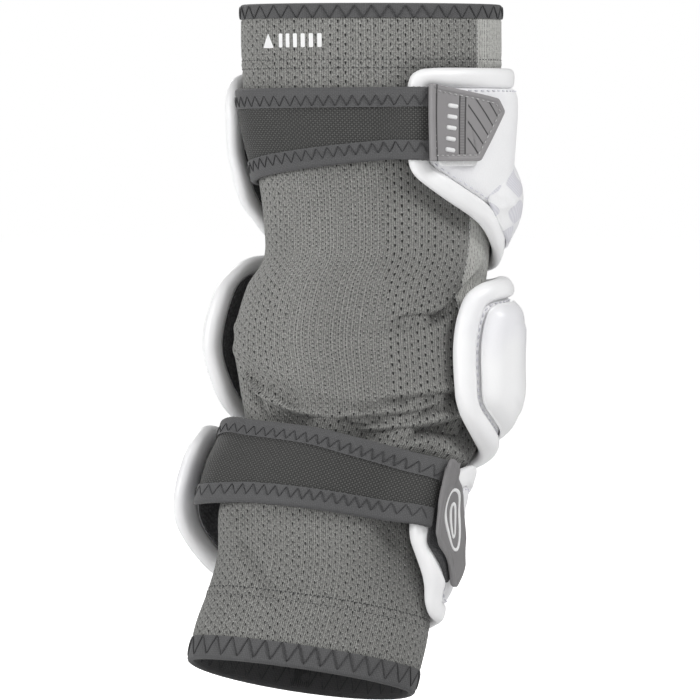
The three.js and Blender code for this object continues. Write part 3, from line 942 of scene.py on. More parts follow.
@cache
def drift_group() -> NodeTree:
    """Slow and fine change of tone around 1, both from noise.

    Returns:
        Group with inputs Place, Slow, Fine and Scale, and output Tone.
    """
    w = GroupWiring("tone drift", ("Tone",), Slow=0.08, Fine=0.06, Scale=1.0)
    place = w.result(
        0, "ShaderNodeVectorMath", {0: w.given("Place"), "Scale": w.given("Scale")},
        operation="SCALE")
    slow, fine = (w.noise(place, *size) * 2.0 - 1.0 for size in ((34.0, 2.0), (1400.0, 1.0)))
    w.give("Tone", 1.0 + (slow * w.given("Slow") + fine * w.given("Fine")))
    return w.tree


@cache
def weave_group() -> NodeTree:
    """Plain weave: crossing threads, whose heights are sines that swap over every thread.

    Returns:
        Group with inputs Place, Warp and Weft in millimetres, and outputs Height and Pit.
    """
    w = GroupWiring("weave", ("Height", "Pit"), Warp=1.0, Weft=1.0)
    x, y = w.millimetres(w.given("Place"))
    ways = x * math.pi / w.given("Warp"), y * math.pi / w.given("Weft")
    warp, weft = (w.math("SINE", way) for way in ways)
    warp_gap, weft_gap = (abs(w.math("COSINE", way)) for way in ways)
    w.give("Height", warp * weft * 0.35 + ((1.0 - warp_gap) + (1.0 - weft_gap)) * 0.32)
    w.give("Pit", (warp_gap * weft_gap) ** 2.0)
    return w.tree


@dataclass(frozen=True)
class Finish:
    """What every finish shares: its colour, roughness and the shader that carries them.

    Attributes:
        name: Name of the material.
        colour: Linear base colour.
        roughness: Roughness of the surface.
        sheen: Weight of the soft sheen of cloth.
        coat: Weight of a thin clear coat.
    """

    name: str
    colour: Triple
    roughness: float = 0.6
    sheen: float = 0.0
    coat: float = 0.0

    @cached_property
    def material(self) -> bpy.types.Material:
        """The finish as a material, made when it is first asked for."""
        material = bpy.data.materials.new(self.name)
        material.use_nodes = True
        material.diffuse_color = self.tint(1.0)
        w = Wiring(material.node_tree)
        for name, value in (
            ("Base Color", self.tint(1.0)), ("Roughness", self.roughness),
            ("Sheen Weight", self.sheen), ("Sheen Roughness", 0.5),
            ("Coat Weight", self.coat), ("Coat Roughness", 0.3),
        ):
            w.shade(name, value)
        self.wire(w)
        return material

    def wire(self, w: Wiring) -> None:
        """Adds the finish's own nodes."""
        raise NotImplementedError

    def tint(self, factor: float) -> tuple[float, ...]:
        """The base colour times a factor, as a node value."""
        return (*(min(1.0, c * factor) for c in self.colour), 1.0)

    def base(self, w: Wiring, slow: float, fine: float) -> Number:
        """The base colour with a slow and a fine change of tone."""
        return w.toned(self.tint(1.0), w.group(
            drift_group(), Place=w.place(), Slow=slow, Fine=fine)["Tone"])


@dataclass(frozen=True)
class MeshKnit(Finish):
    """Ribbed stretch knit with staggered eyelets, as open as the piece's openness says."""

    rib: float = 1.12
    course: float = 0.9
    grain: float = 1.0

    def wire(self, w: Wiring) -> None:
        """Adds ribs with painted shade in their valleys and painted highlights on their crests,
        large open eyelets and small shut ones painted nearly black as shade, the painted highlights
        of their yarn loops, and the painted shade and light kept on the points.

        Args:
            w: Wiring of the material.
        """
        place = w.cloth()
        openness, plain = w.attribute("openness"), w.attribute("plainness")
        closed = 1.0 - openness
        knit = w.group(knit_group(), Place=place, Rib=self.rib, Course=self.course)
        eyelet = w.group(
            eyelet_group(), Place=place, Width=openness * 0.36 + 0.24,
            Tall=openness * 0.1 + 0.8)
        tick = w.group(
            eyelet_group(), Place=place, Across=1.68, Along=2.2, Width=0.3, Tall=0.58)
        drift = w.group(drift_group(), Place=place, Slow=0.1, Fine=self.grain, Scale=0.85)
        broken = w.step(0.4, 0.6, w.noise(place, 620.0, 1.0)) * 0.65 + 0.35
        open_hole = eyelet["Hole"] * w.math("ADD", openness * 2.2, 0.1, clamp=True)
        shut_hole = tick["Hole"] * closed * broken
        hole = w.math(
            "MULTIPLY", w.math("MAXIMUM", open_hole, shut_hole), 1.0 - plain, clamp=True)
        # Painted shade from the points' hollow values, and painted light where they are negative.
        shade = w.attribute("hollow") * -0.74 + 1.0
        base = w.toned(self.tint(1.0), drift["Tone"] * shade)
        lit = w.blend(plain * 0.85, base, self.tint(2.7))
        # Painted shade in the rib valleys.
        ribbed = w.blend(knit["Valley"] * broken, lit, self.tint(0.38))
        # Painted highlight on the rib crests.
        crest = w.blend(knit["Height"] ** 3.0 * 0.4, ribbed, self.tint(1.55))
        # Painted highlight on the yarn loops above the holes.
        dot = w.math("MAXIMUM", eyelet["Dot"], tick["Dot"] * closed) * (broken * 0.7 - 0.2)
        dotted = w.blend(dot, crest, self.tint(2.0))
        # Painted shade: the eyelet holes are painted nearly black, as the shaded inside seen through
        # them.
        w.shade("Base Color", w.blend(hole, dotted, self.tint(0.05)))
        w.bump(knit["Height"] - hole * 1.6, 0.0003)


@dataclass(frozen=True)
class Woven(Finish):
    """Woven band: crossing threads seen from above, on the piece's pattern coordinates."""

    warp: float = 1.0
    weft: float = 1.0
    depth: float = 0.00025
    pit_shade: float = 0.5
    glint: float = 1.5

    def wire(self, w: Wiring) -> None:
        """Adds the threads, with a painted highlight on top and painted shade in the pits between
        them.

        Args:
            w: Wiring of the material.
        """
        weave = w.group(weave_group(), Place=w.cloth(), Warp=self.warp, Weft=self.weft)
        # Painted highlight on the thread tops.
        lit = w.blend(weave["Height"], self.base(w, 0.12, 0.16), self.tint(self.glint))
        # Painted shade in the pits between the threads.
        w.shade("Base Color", w.blend(weave["Pit"] * self.pit_shade, lit, self.tint(0.4)))
        w.bump(weave["Height"], self.depth)


@dataclass(frozen=True)
class Coated(Finish):
    """Smooth coated foam skin or moulded rubber: a fine grain and a slow change of tone."""

    grain: float = 900.0
    depth: float = 0.00003
    slow: float = 0.03
    shadow: Triple = (0.6, 0.6, 0.68)
    shadow_share: float = 0.25

    def grooves(self, w: Wiring) -> Number | None:
        """Mask of moulded grooves, darkened with painted shade; a plain skin has none."""
        return None

    def wire(self, w: Wiring) -> None:
        """Adds soft clouds of shade, the grain, and the grooves with their painted shade.

        Args:
            w: Wiring of the material.
        """
        place = w.place()
        cloud = w.step(0.52, 0.75, w.noise(place, 22.0, 2.0))
        colour = w.blend(
            cloud * self.shadow_share, self.base(w, self.slow, 0.015), (*self.shadow, 1.0))
        fine = relief = w.noise(place, self.grain, 2.0)
        mask = self.grooves(w)
        if mask is not None:
            # Painted shade in the grooves and on the sunken bar's floor.
            colour = w.blend(mask, colour, self.tint(0.22))
            relief = fine - mask * 9.0
        w.shade("Base Color", colour)
        w.shade("Roughness", fine * 0.16 + (self.roughness - 0.08))
        w.bump(relief, self.depth)


@dataclass(frozen=True)
class Moulded(Coated):
    """Moulded rubber with upright and slanted grooves, on its pattern coordinates.

    Attributes:
        full: Place across, in millimetres, of a groove from edge to edge.
        bar: Places across of both sides of a sunken bar.
        hatch_from: Place across where the slanted grooves start.
        spacing: Distance between slanted grooves.
        slope: Their slope in degrees, downwards to the right.
        border: Width of the border that stays plain.
        line: Half width of a groove.
    """

    full: float = -1000.0
    bar: tuple[float, float] = (-1000.0, -990.0)
    hatch_from: float = 1000.0
    spacing: float = 4.5
    slope: float = 55.0
    border: float = 2.9
    line: float = 0.26

    def grooves(self, w: Wiring) -> Number:
        """Mask of the grooves: one on their middle lines, none beyond their half width."""
        x, y = w.millimetres(w.cloth())
        line = self.line + 0.15, self.line - 0.1
        low, high = self.bar
        left, right, full = (w.step(*line, abs(x - at)) for at in (low, high, self.full))
        between = w.step(low, low + 0.2, x) * w.step(high, high - 0.2, x)
        floor = between * (w.math("SINE", y * (2 * math.pi / 1.3)) * 0.12 + 0.3)
        angle = math.radians(self.slope)
        cell = w.math("FRACT", (y * math.cos(angle) - x * math.sin(angle)) / self.spacing)
        slanted = w.step(*line, abs(cell - 0.5) * self.spacing) * w.step(
            self.hatch_from, self.hatch_from + 0.2, x)
        inside = w.step(self.border, self.border + 0.2, w.attribute("far"))
        marks = inside * w.math(
            "MAXIMUM", w.math("MAXIMUM", left, right), w.math("MAXIMUM", floor, slanted))
        return w.math("MAXIMUM", marks, full, clamp=True)


@dataclass(frozen=True)
class Jersey(Finish):
    """Smooth white jersey over foam, with a fine knit and soft lavender clouds."""

    shadow: Triple = (0.62, 0.615, 0.67)
    shadow_share: float = 0.25
    facets: bool = False

    def wire(self, w: Wiring) -> None:
        """Adds the clouds, the fine knit and, where it has facets, uneven hatched diamonds.

        Args:
            w: Wiring of the material.
        """
        place = w.cloth()
        knit = w.group(knit_group(), Place=place, Rib=0.9, Course=0.7)
        shadow = (*self.shadow, 1.0)
        cloud = w.step(0.42, 0.7, w.noise(place, 40.0, 1.0))
        colour = w.blend(cloud * self.shadow_share, self.base(w, 0.03, 0.04), shadow)
        if self.facets:
            x, y = w.millimetres(place)
            down, across = (w.math("COSINE", part * (2 * math.pi / size))
                            for part, size in ((y, 12.5), (x, 21)))
            uneven = w.noise(place, 70.0, 1.0) * 3.2 - 1.4
            hatch = w.math("SINE", (y - x * 0.8) * 3.1)
            share = w.step(0.05, 0.3, down - across + uneven) * (
                w.step(-0.3, 0.5, hatch) * 0.3 + 0.6)
            colour = w.blend(share, colour, shadow)
        w.shade("Base Color", colour)
        w.bump(knit["Height"], 0.00006)


@dataclass(frozen=True)
class Pile(Finish):
    """Short pile: hook tape or brushed lining, as noise on a fine lattice."""

    dots: float = 1500.0
    depth: float = 0.0004
    shadow: float = 0.62

    def wire(self, w: Wiring) -> None:
        """Adds the tufts, with painted shade between them.

        Args:
            w: Wiring of the material.
        """
        near = w.result(
            "Distance", "ShaderNodeTexVoronoi", {"Vector": w.place(), "Scale": self.dots})
        w.shade("Base Color", w.blend(
            w.step(0.25, 0.7, near), self.base(w, 0.1, 0.2), self.tint(self.shadow)))
        w.bump(1.0 - near, self.depth)


def thread(name: str, colour: Triple, shadow: Triple) -> Coated:
    """Finish of a sewing thread."""
    return Coated(name, colour, 0.6, grain=4000.0, depth=0.0001, shadow=shadow)


class Look(Enum):
    """Every finish of the arm pad."""

    MESH_KNIT = MeshKnit("mesh knit", (0.21, 0.21, 0.2), 0.85, 0.1)
    EDGE_TAPE = Woven(
        "edge tape", (0.078, 0.078, 0.08), 0.8, 0.1, warp=0.9, weft=0.55, depth=0.00012,
        pit_shade=0.35, glint=1.25)
    WEBBING = Woven(
        "webbing", (0.025, 0.025, 0.024), 0.75, 0.05, warp=1.1, weft=0.95, depth=0.0003,
        pit_shade=0.85, glint=4.8)
    UPPER_RUBBER = Moulded(
        "rubber", (0.26, 0.252, 0.256), 0.55, grain=1500.0, depth=0.00004,
        shadow=(0.19, 0.185, 0.19), full=23.2, bar=(33.3, 35.8), hatch_from=36.9)
    LOWER_RUBBER = Moulded(
        "lower rubber", (0.2, 0.195, 0.197), 0.55, grain=1500.0, depth=0.00004,
        shadow=(0.15, 0.15, 0.15))
    SHELL = Coated("white shell", (0.87, 0.87, 0.875), 0.42, coat=0.12)
    JERSEY = Jersey("white jersey", (0.86, 0.86, 0.87), 0.6, 0.15)
    QUILT = Jersey(
        "shaded jersey", (0.86, 0.86, 0.87), 0.5, 0.15, shadow_share=0.3, facets=True)
    LINING = Pile("brushed lining", (0.09, 0.09, 0.094), 0.9, 0.1, dots=700.0)
    HOOK_WHITE = Pile("white hook tape", (0.9, 0.9, 0.905), 0.7, depth=0.0001, shadow=0.95)
    HOOK_GREY = Pile("grey hook tape", (0.06, 0.06, 0.063), 0.8)
    DARK_THREAD = thread("dark thread", (0.035, 0.035, 0.037), (0.06, 0.06, 0.06))
    LIGHT_THREAD = thread("light thread", (0.5, 0.5, 0.5), (0.4, 0.4, 0.4))
    PALE_THREAD = thread("pale thread", (0.7, 0.7, 0.75), (0.55, 0.55, 0.62))
    PRINT_WHITE = Coated("white print", (0.8, 0.8, 0.8), 0.5)


def enter(
    piece: Piece, look: Look, node: str | None = None
) -> None:
    """Gives a piece its finish and tells the frame what it is.

    Args:
        piece: The new piece.
        look: Its finish.
        node: CAD node that it replaces, or None.
    """
    piece.data.materials.clear()
    piece.data.materials.append(look.value.material)
    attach(piece, BODY)
    if node is not None:
        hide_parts(node)
    role = Role.ADDED if node is None else Role.REPLACES
    log.info("%s: %d faces, %s", piece.name, len(piece.data.polygons), role.value)


def keep_value(piece: Piece, name: str, values: Array) -> None:
    """Keeps one number for each point of a piece, for its finish to read."""
    layer = piece.data.attributes.new(name, "FLOAT", "POINT")
    layer.data.foreach_set("value", values.astype(np.float32).ravel())


@dataclass(frozen=True)
class Crease:
    """A fold with a lip above its line and a hollow below it.

    With d the distance past the line, the height is lip * exp(-((d + 2.2 s) / 1.6 s)^2)
    less depth * exp(-(d / w)^2), where w is the sharp width s above the line and the broad
    one below it. Both fade out over the ends of the line.
    """

    keys: Corners
    depth: float
    lip: float
    sharp: float
    broad: float
    fade: float = 10.0

    def past(self, turn: Array, along: Array) -> tuple[Array, Array]:
        """Distance past the line at turns from -180 to 180, and the fold's fading.

        Args:
            turn: Degrees round the arm.
            along: Distance from the upper mouth.

        Returns:
            Millimetres past the line, and a share from 0 to 1.
        """
        keys = np.array(self.keys, float)
        line = read_table(keys, np.clip(turn, keys[0, 0], keys[-1, 0]))[..., 0]
        fade = ease(keys[0, 0] - 2, keys[0, 0] + self.fade, turn) * ease(
            keys[-1, 0] + 2, keys[-1, 0] - self.fade, turn)
        return along - line, fade

    def hollow(self, turn: Array, along: Array, power: int = 2) -> Array:
        """How deep in the hollow a place is, from 0 to 1; evener with a high even power.

        Args:
            turn: Degrees round the arm.
            along: Distance from the upper mouth.
            power: Power of the distance.

        Returns:
            Shares from 0 to 1.
        """
        past, fade = self.past(turn, along)
        width = np.where(past < 0, self.sharp, self.broad)
        return fade * np.exp(-((past / width) ** power))

    def height(self, turn: Array, along: Array) -> Array:
        """Height of the fold."""
        past, fade = self.past(turn, along)
        lip = np.exp(-(((past + 2.2 * self.sharp) / (1.6 * self.sharp)) ** 2))
        return fade * self.lip * lip - self.depth * self.hollow(turn, along)


CREASES = (
    Crease(((-76, 184), (-67, 191), (-58, 198.5), (-48, 203), (-38, 206), (-27, 208),
            (-16, 209.3), (-1, 209.5), (8, 208)), 5.2, 1.9, 1.1, 8.0),
    Crease(((-16, 208.5), (3, 205.5), (23, 201.5), (40, 195.5), (56, 190)), 2.8, 1.3, 1.0, 3.2),
    Crease(((-8, 214), (12, 211.5), (29, 208), (47, 203), (64, 198), (76, 196)),
           3.8, 1.9, 1.2, 5.4),
    Crease(((6, 197.5), (26, 193.5), (50, 188), (64, 183)), 2.0, 1.0, 1.2, 3.4),
    Crease(((16, 155), (40, 151), (49, 143.5), (60, 134), (70, 128)), 3.2, 1.2, 1.2, 5.0),
    Crease(((-62, 270), (-44, 280), (-28, 293), (-20, 298)), 1.2, 0.6, 4.0, 6.0),
)


@dataclass(frozen=True)
class Sleeve:
    """The stretch sleeve: a thin tube with creases, seams and eyelets."""

    columns: int = 300
    spacing: Corners = (
        (0.0, 1.4), (120.0, 1.2), (178.0, 0.64), (220.0, 0.64), (226.0, 1.5), (340.0, 1.5))
    lining_rows: int = 36
    wall: float = 1.1
    cuff_pinch: float = 0.6
    upper_tape: float = 7.0
    lower_tape: float = 11.5
    girth: float = 309.12
    seams: tuple[float, ...] = (26.8, 30.8, 294.0, 298.0)
    panel_turn: float = 54.0
    small_folds: Array = field(default_factory=lambda: np.array([
        [58, 118, 40, 150, 5, -0.7],
        [70, 138, 36, 148, 3.5, 0.9],
        [66, 150, 30, 170, 6, -0.7],
        [-75, 186, -44, 205, 3.5, 1.2],
        [-66, 172, -40, 188, 4, 0.8],
        [-30, 198, 10, 198, 4, 0.7],
        [-20, 186, 20, 192, 5, -0.5],
        [16, 196, 50, 186, 3, 0.9],
        [30, 214, 66, 206, 3, 0.8],
        [30, 206, 60, 212, 3, -0.8],
        [-62, 262, -50, 290, 5, 0.7],
        [20, 86, 44, 104, 5, -1.6],
        [46, 206, 74, 208, 6, -3.0],
        [20, 216, 60, 217, 3.5, 1.2],
        [-88, 158, -72, 163, 3, 0.9],
        [-88, 170, -74, 176, 3, 0.9],
        [10, 262, 30, 286, 6, -0.7],
        [36, 258, 56, 290, 6, -0.8],
        [-10, 268, 0, 290, 6, 0.5],
        [-50, 92, -20, 130, 9, -0.5],
        [-70, 100, -60, 150, 8, 0.5],
    ]))

    def height(self, turn: Array, along: Array) -> Array:
        """Outer face: the large folds, the small ones, faint ripples and the seams.

        Args:
            turn: Degrees round the arm.
            along: Distance from the upper mouth.

        Returns:
            Millimetres over the plain arm.
        """
        ripple = 0.12 * np.sin(along / 7.0 + 2.2 * np.sin(np.radians(turn * 3))) * np.sin(
            np.radians(turn * 5) + along / 31.0)
        inner = ease(8, 16, along) * ease(ARM_LENGTH - 13, ARM_LENGTH - 22, along)
        near = ((turn + 180) % 360) - 180
        total = inner * (ridges(FOLDS, turn, along) + ridges(self.small_folds, turn, along)
                         + ripple + sum(crease.height(near, along) for crease in CREASES))
        for seam in self.seams:
            total = total - 0.45 * np.exp(-(((along - seam) / 0.7) ** 2))
        for low, high in (self.seams[:2], self.seams[2:]):
            total = total + 0.25 * ease(low - 0.5, low + 1, along) * ease(
                high + 0.5, high - 1, along)
        under = np.maximum(
            ease(self.upper_tape + 0.8, self.upper_tape - 0.4, along),
            ease(ARM_LENGTH - self.lower_tape - 0.8, ARM_LENGTH - self.lower_tape + 0.4, along))
        return total * (1 - under) - self.cuff_pinch * under

    def hollow(self, turn: Array, along: Array) -> Array:
        """How far a place lies in the shade of a fold, of the lower tab or of a pad's edge.

        It is negative where painted light makes the knit paler: left of the crook and at the top.

        Args:
            turn: Degrees round the arm.
            along: Millimetres from the upper end.

        Returns:
            Shares from -0.3 to 1.
        """
        near = ((turn + 180) % 360) - 180
        # Painted shade in the hollows of the creases.
        deep = sum(min(1.0, crease.depth / 4) * crease.hollow(near, along, 4)
                   for crease in CREASES)
        # Painted shade low on the right, below the lower strap by the lower tab.
        below = 0.8 * ease(0, 46, near) * ease(90, 70, near) * (
            ease(244, 252, along) * ease(304, 262, along))
        # Painted shade beside the edges of the bicep and elbow pads, on the right side only.
        beside = 0.0
        for outline in (BICEP_OUTLINE, ELBOW_OUTLINE):
            away = np.full(turn.shape, 99.0)
            for place in closed_curve(outline, 150):
                away = np.minimum(away, np.hypot(
                    (turn - place[0]) * MM_PER_DEGREE, along - place[1]))
            beside = beside + 0.6 * np.exp(-((away / 6.0) ** 2))
        # Painted light: paler knit left of the crook and at the top.
        pale = 0.3 * ease(-12, -44, near) * ease(-135, -105, near) * (
            ease(70, 90, along) * ease(214, 196, along)) + 0.2 * ease(48, 34, along)
        return np.clip(deep + below + beside * ease(-10, 10, near), 0, 1) - pale

    def openness(self, turn: Array, along: Array) -> Array:
        """How open the eyelets are: most beside the crook, least in the middle panel.

        Args:
            turn: Degrees round the arm.
            along: Distance from the upper mouth.

        Returns:
            Shares from 0.05 to 1.
        """
        t = ((turn + 180) % 360) - 180
        crook = ease(70, 84, along) * ease(208, 196, along)
        left, right = (low + step * ease(122, 152, along) for low, step in ((-54, 18), (5, 8)))
        beyond = ease(left + 5, left - 5, t) * crook
        middle = ease(right + 2, right - 2, t) * crook - beyond
        cuffs = 0.4 * ease(72, 56, along) + 0.45 * ease(240, 262, along)
        tucked = ease(-8, -20, t) * ease(194, 200, along) * ease(216, 210, along)
        return np.clip(
            0.85 - cuffs - 0.8 * middle - 0.35 * beyond - 0.5 * tucked * (1 - crook), 0.05, 1.0)

    def plainness(self, turn: Array, along: Array) -> Array:
        """One on the plain panel down the outer side of the arm, as far as the elbow.

        Args:
            turn: Degrees round the arm.
            along: Distance from the upper mouth.

        Returns:
            Shares from 0 to 1.
        """
        t = turn % 360
        return ease(self.panel_turn - 0.6, self.panel_turn + 0.6, t) * ease(
            112, 110.5, t) * ease(160, 140, along)

    def cloth(self, turns: Array, places: Array) -> Array:
        """Pattern coordinates: share of the arc round, times the girth, and place along.

        Args:
            turns: Turns of the columns.
            places: Distances along of the rows.

        Returns:
            Millimetres across and down, on a last axis.
        """
        fine = np.linspace(0, 360, 721)
        arc = ARM.arc(fine[:, None], places[None, :], 0.0)
        reach = np.vstack([
            np.zeros((1, arc.shape[1])), np.cumsum((arc[1:] + arc[:-1]) / 2, axis=0)])
        reach /= reach[-1]
        index = np.round(turns * 2).astype(int)
        around = reach[index] * self.girth
        return np.stack([around, np.broadcast_to(places, around.shape)], -1)

    def build(self) -> None:
        """Makes the tube: turns round the arm, outer face down and inner face up."""
        start = 1.2
        steps = np.array(self.spacing)
        fine = np.linspace(start, ARM_LENGTH - start, 3000)
        count = np.concatenate([[0], np.cumsum(
            np.diff(fine) / np.interp(fine[1:], steps[:, 0], steps[:, 1]))])
        rows = round(count[-1])
        outer = np.interp(np.linspace(0, count[-1], rows), count, fine)
        inner = np.linspace(ARM_LENGTH - start, start, self.lining_rows)
        places = np.concatenate([outer, inner])
        sunk = np.concatenate([np.zeros(rows), np.full(self.lining_rows, self.wall)])
        turns = np.linspace(0, 360, self.columns, endpoint=False)
        turn, along = np.meshgrid(turns, places, indexing="ij")
        cloth = self.cloth(np.append(turns, 360.0), np.append(places, places[0]))
        piece = make_tube("sleeve_knit", on_arm(turn, along, self.height, -sunk), cloth)
        # The hollow values carry the knit's painted shade and painted light.
        for value in (self.openness, self.plainness, self.hollow):
            keep_value(piece, value.__name__, value(turn, along))
        enter(piece, Look.MESH_KNIT, "sleeve")
        self.dress()

    def dress(self) -> None:
        """Sews the double seams at both cuffs and the seam of the side panel."""
        turn = np.linspace(0, 360, 721)
        for index, seam in enumerate(self.seams):
            path = np.column_stack([turn, np.full_like(turn, seam)])
            line = run_of_stitches(
                f"sleeve_seam_{index + 1}", path, self.height, 1.5, 0.5, 0.25)
            enter(line, Look.DARK_THREAD)
        along = np.linspace(9, 150, 400)
        path = np.column_stack([np.full_like(along, self.panel_turn - 0.5), along])
        line = run_of_stitches("side_panel_seam", path, self.height, 1.3, 0.8, 0.2)
        enter(line, Look.LIGHT_THREAD)


def folded_profile(width: float, half: float, thickness: float) -> Array:
    """Cross section of a tape folded over an edge: two U curves, one inside the other.

    Args:
        width: From the fold to the tape's free edges.
        half: Half of the outer height of the fold.
        thickness: Thickness of the tape.

    Returns:
        Closed polygon of (across, height), the fold at across 0.
    """
    def u_curve(reach: float, high: float) -> Array:
        """Free edge, straight run, half ellipse, straight run, free edge."""
        angle = np.linspace(math.pi / 2, 3 * math.pi / 2, 11)
        bend = np.column_stack([
            reach + reach * 0.99 * np.cos(angle), high * np.sin(angle)])
        run = np.linspace(width, reach, 8)[:-1]
        crown = 0.12 * np.sin(math.pi * (run - reach) / (width - reach)) ** 2
        top = np.column_stack([run, high + crown])
        bottom = np.column_stack([run[::-1], np.full_like(run, -high)])
        return np.vstack([top, bend, bottom])

    outside = u_curve(half * 0.9, half)
    inside = u_curve(half * 0.9, half - thickness)
    inside[:, 0] = np.maximum(inside[:, 0], thickness)
    return np.vstack([outside, inside[::-1]])


@dataclass(frozen=True)
class CuffBinding:
    """Folded elastic tape round one mouth of the sleeve, with its zigzag stitch."""

    node: str
    width: float
    edge: float
    toward: int
    middle: float = -1.35
    half: float = 1.65
    thickness: float = 0.6
    pitch: float = 8.2

    def build(self) -> None:
        """Carries the folded profile round the mouth."""
        profile = folded_profile(self.width, self.half, self.thickness)
        turns = np.linspace(0, 360, 300, endpoint=False)
        ripple = 0.1 * np.sin(np.radians(turns * 44))[:, None]
        along = self.edge + self.toward * profile[None, :, 0] * (1 + 0.01 * ripple)
        lift = self.middle + profile[None, :, 1] + ripple * 0.6
        points = ARM.point(turns[:, None], along, lift)
        reach = np.append(turns, 360.0)[:, None] * 0.86
        across = np.arange(len(profile) + 1)[None, :] * 0.8
        cloth = np.stack(np.broadcast_arrays(reach, across), -1)
        piece = make_tube(f"{self.node}_tape", points, cloth, sharp=50)
        enter(piece, Look.EDGE_TAPE, self.node)
        self.dress()

    def dress(self) -> None:
        """Sews a zigzag on both faces, and the tape's join inside."""
        low, high = self.width * 0.28 - 1.2, self.width + 0.3

        def edge(turn: Array, share: float) -> Array:
            """Distance along of the zigzag's two sides."""
            return self.edge + self.toward * (low + (high - low) * share) + 0 * turn

        outer, inner = self.middle + self.half + 0.1, self.middle - self.half - 0.1
        for word, turns, height, pitch, closed, radius in (
            ("zigzag", (0.0, 360.0), outer, self.pitch, True, 0.3),
            ("inner_zigzag", (0.0, 360.0), inner, self.pitch, True, 0.3),
            ("join", (175.0, 185.0), inner, 1.1, False, 0.35),
        ):
            name = f"{self.node}_{word}"
            line = zigzag(name, turns, edge, level(height), pitch, closed, radius)
            enter(line, Look.DARK_THREAD)


@dataclass(frozen=True)
class Cushion:
    """Cloth simulation that puffs a padded form out between its sewn lines.

    Attributes:
        pressure: Pressure inside the form.
        slack: Share by which the cloth is larger than the form.
        frames: Number of frames simulated.
        limit: Furthest that a point may move, in millimetres.
    """

    pressure: float = 5.0
    slack: float = 0.012
    frames: int = 14
    limit: float = 1.8

    def puff(self, piece: Piece, held: Array) -> None:
        """Runs the simulation on the form's own mesh and keeps the last frame.

        Args:
            piece: The form.
            held: Whether each point is sewn down.
        """
        pins = piece.vertex_groups.new(name="held")
        pins.add(np.flatnonzero(held).tolist(), 1.0, "REPLACE")
        cloth = piece.modifiers.new("cloth", "CLOTH")
        settings = cloth.settings
        for name, value in {
            "quality": 4, "mass": 0.1, "tension_stiffness": 12.0, "compression_stiffness": 4.0,
            "shear_stiffness": 4.0, "bending_stiffness": 0.6, "use_pressure": True,
            "uniform_pressure_force": self.pressure, "shrink_min": -self.slack,
            "vertex_group_mass": "held",
        }.items():
            setattr(settings, name, value)
        settings.effector_weights.gravity = 0.0
        cloth.point_cache.frame_start = 1
        cloth.point_cache.frame_end = self.frames
        cloth.collision_settings.use_collision = False
        scene = bpy.context.scene
        for frame in range(1, self.frames + 1):
            scene.frame_set(frame)
        moved = piece.evaluated_get(bpy.context.evaluated_depsgraph_get()).to_mesh()
        after = np.empty(len(moved.vertices) * 3, np.float32)
        moved.vertices.foreach_get("co", after)
        before = np.empty_like(after)
        piece.data.vertices.foreach_get("co", before)
        shift = (after - before).reshape(-1, 3)
        size = np.linalg.norm(shift, axis=1, keepdims=True)
        shift *= np.minimum(1, self.limit * MM / np.maximum(size, 1e-9))
        piece.modifiers.remove(cloth)
        piece.vertex_groups.remove(pins)
        scene.frame_set(1)
        piece.data.vertices.foreach_set("co", before + shift.ravel())
        piece.data.update()
        log.info("%s: moved up to %.2f mm", piece.name, float(size.max()) / MM)


@dataclass(frozen=True)
class DiscShape:
    """Rings of a padded form: scaled to its middle inside, set in from its outline outside."""

    outline: Array
    spread: int = 12
    reach: float = 15.0
    inner_rings: int = 22
    outer_rings: int = 16
    relax: float = 0.8

    def middle(self) -> Array:
        """Middle of the outline's box, where the rings shrink to."""
        return (self.outline.min(0) + self.outline.max(0)) / 2

    def ring_set(self, edge: float) -> tuple[Array, Array]:
        """Rings from the middle out to an edge set in from the outline.

        Args:
            edge: Distance from the outline to the last ring.

        Returns:
            Rings as turn and distance along, and each ring's distance from the outline.
        """
        direction = inward(self.outline, self.spread)
        base = relaxed(
            inset(self.outline, direction, self.reach), (self.reach - edge) * self.relax)
        share = np.linspace(0.04, 1, self.inner_rings, endpoint=False)[:, None, None]
        scaled = self.middle() + (base - self.middle()) * share
        far = self.reach + (1 - share[:, 0, 0]) * 24.0
        steps = edge + (self.reach - edge) * (1 - np.linspace(0, 1, self.outer_rings)) ** 1.6
        near = np.stack([
            relaxed(inset(self.outline, direction, step), (step - edge) * self.relax)
            for step in steps])
        return np.concatenate([scaled, near]), np.concatenate([far, steps])


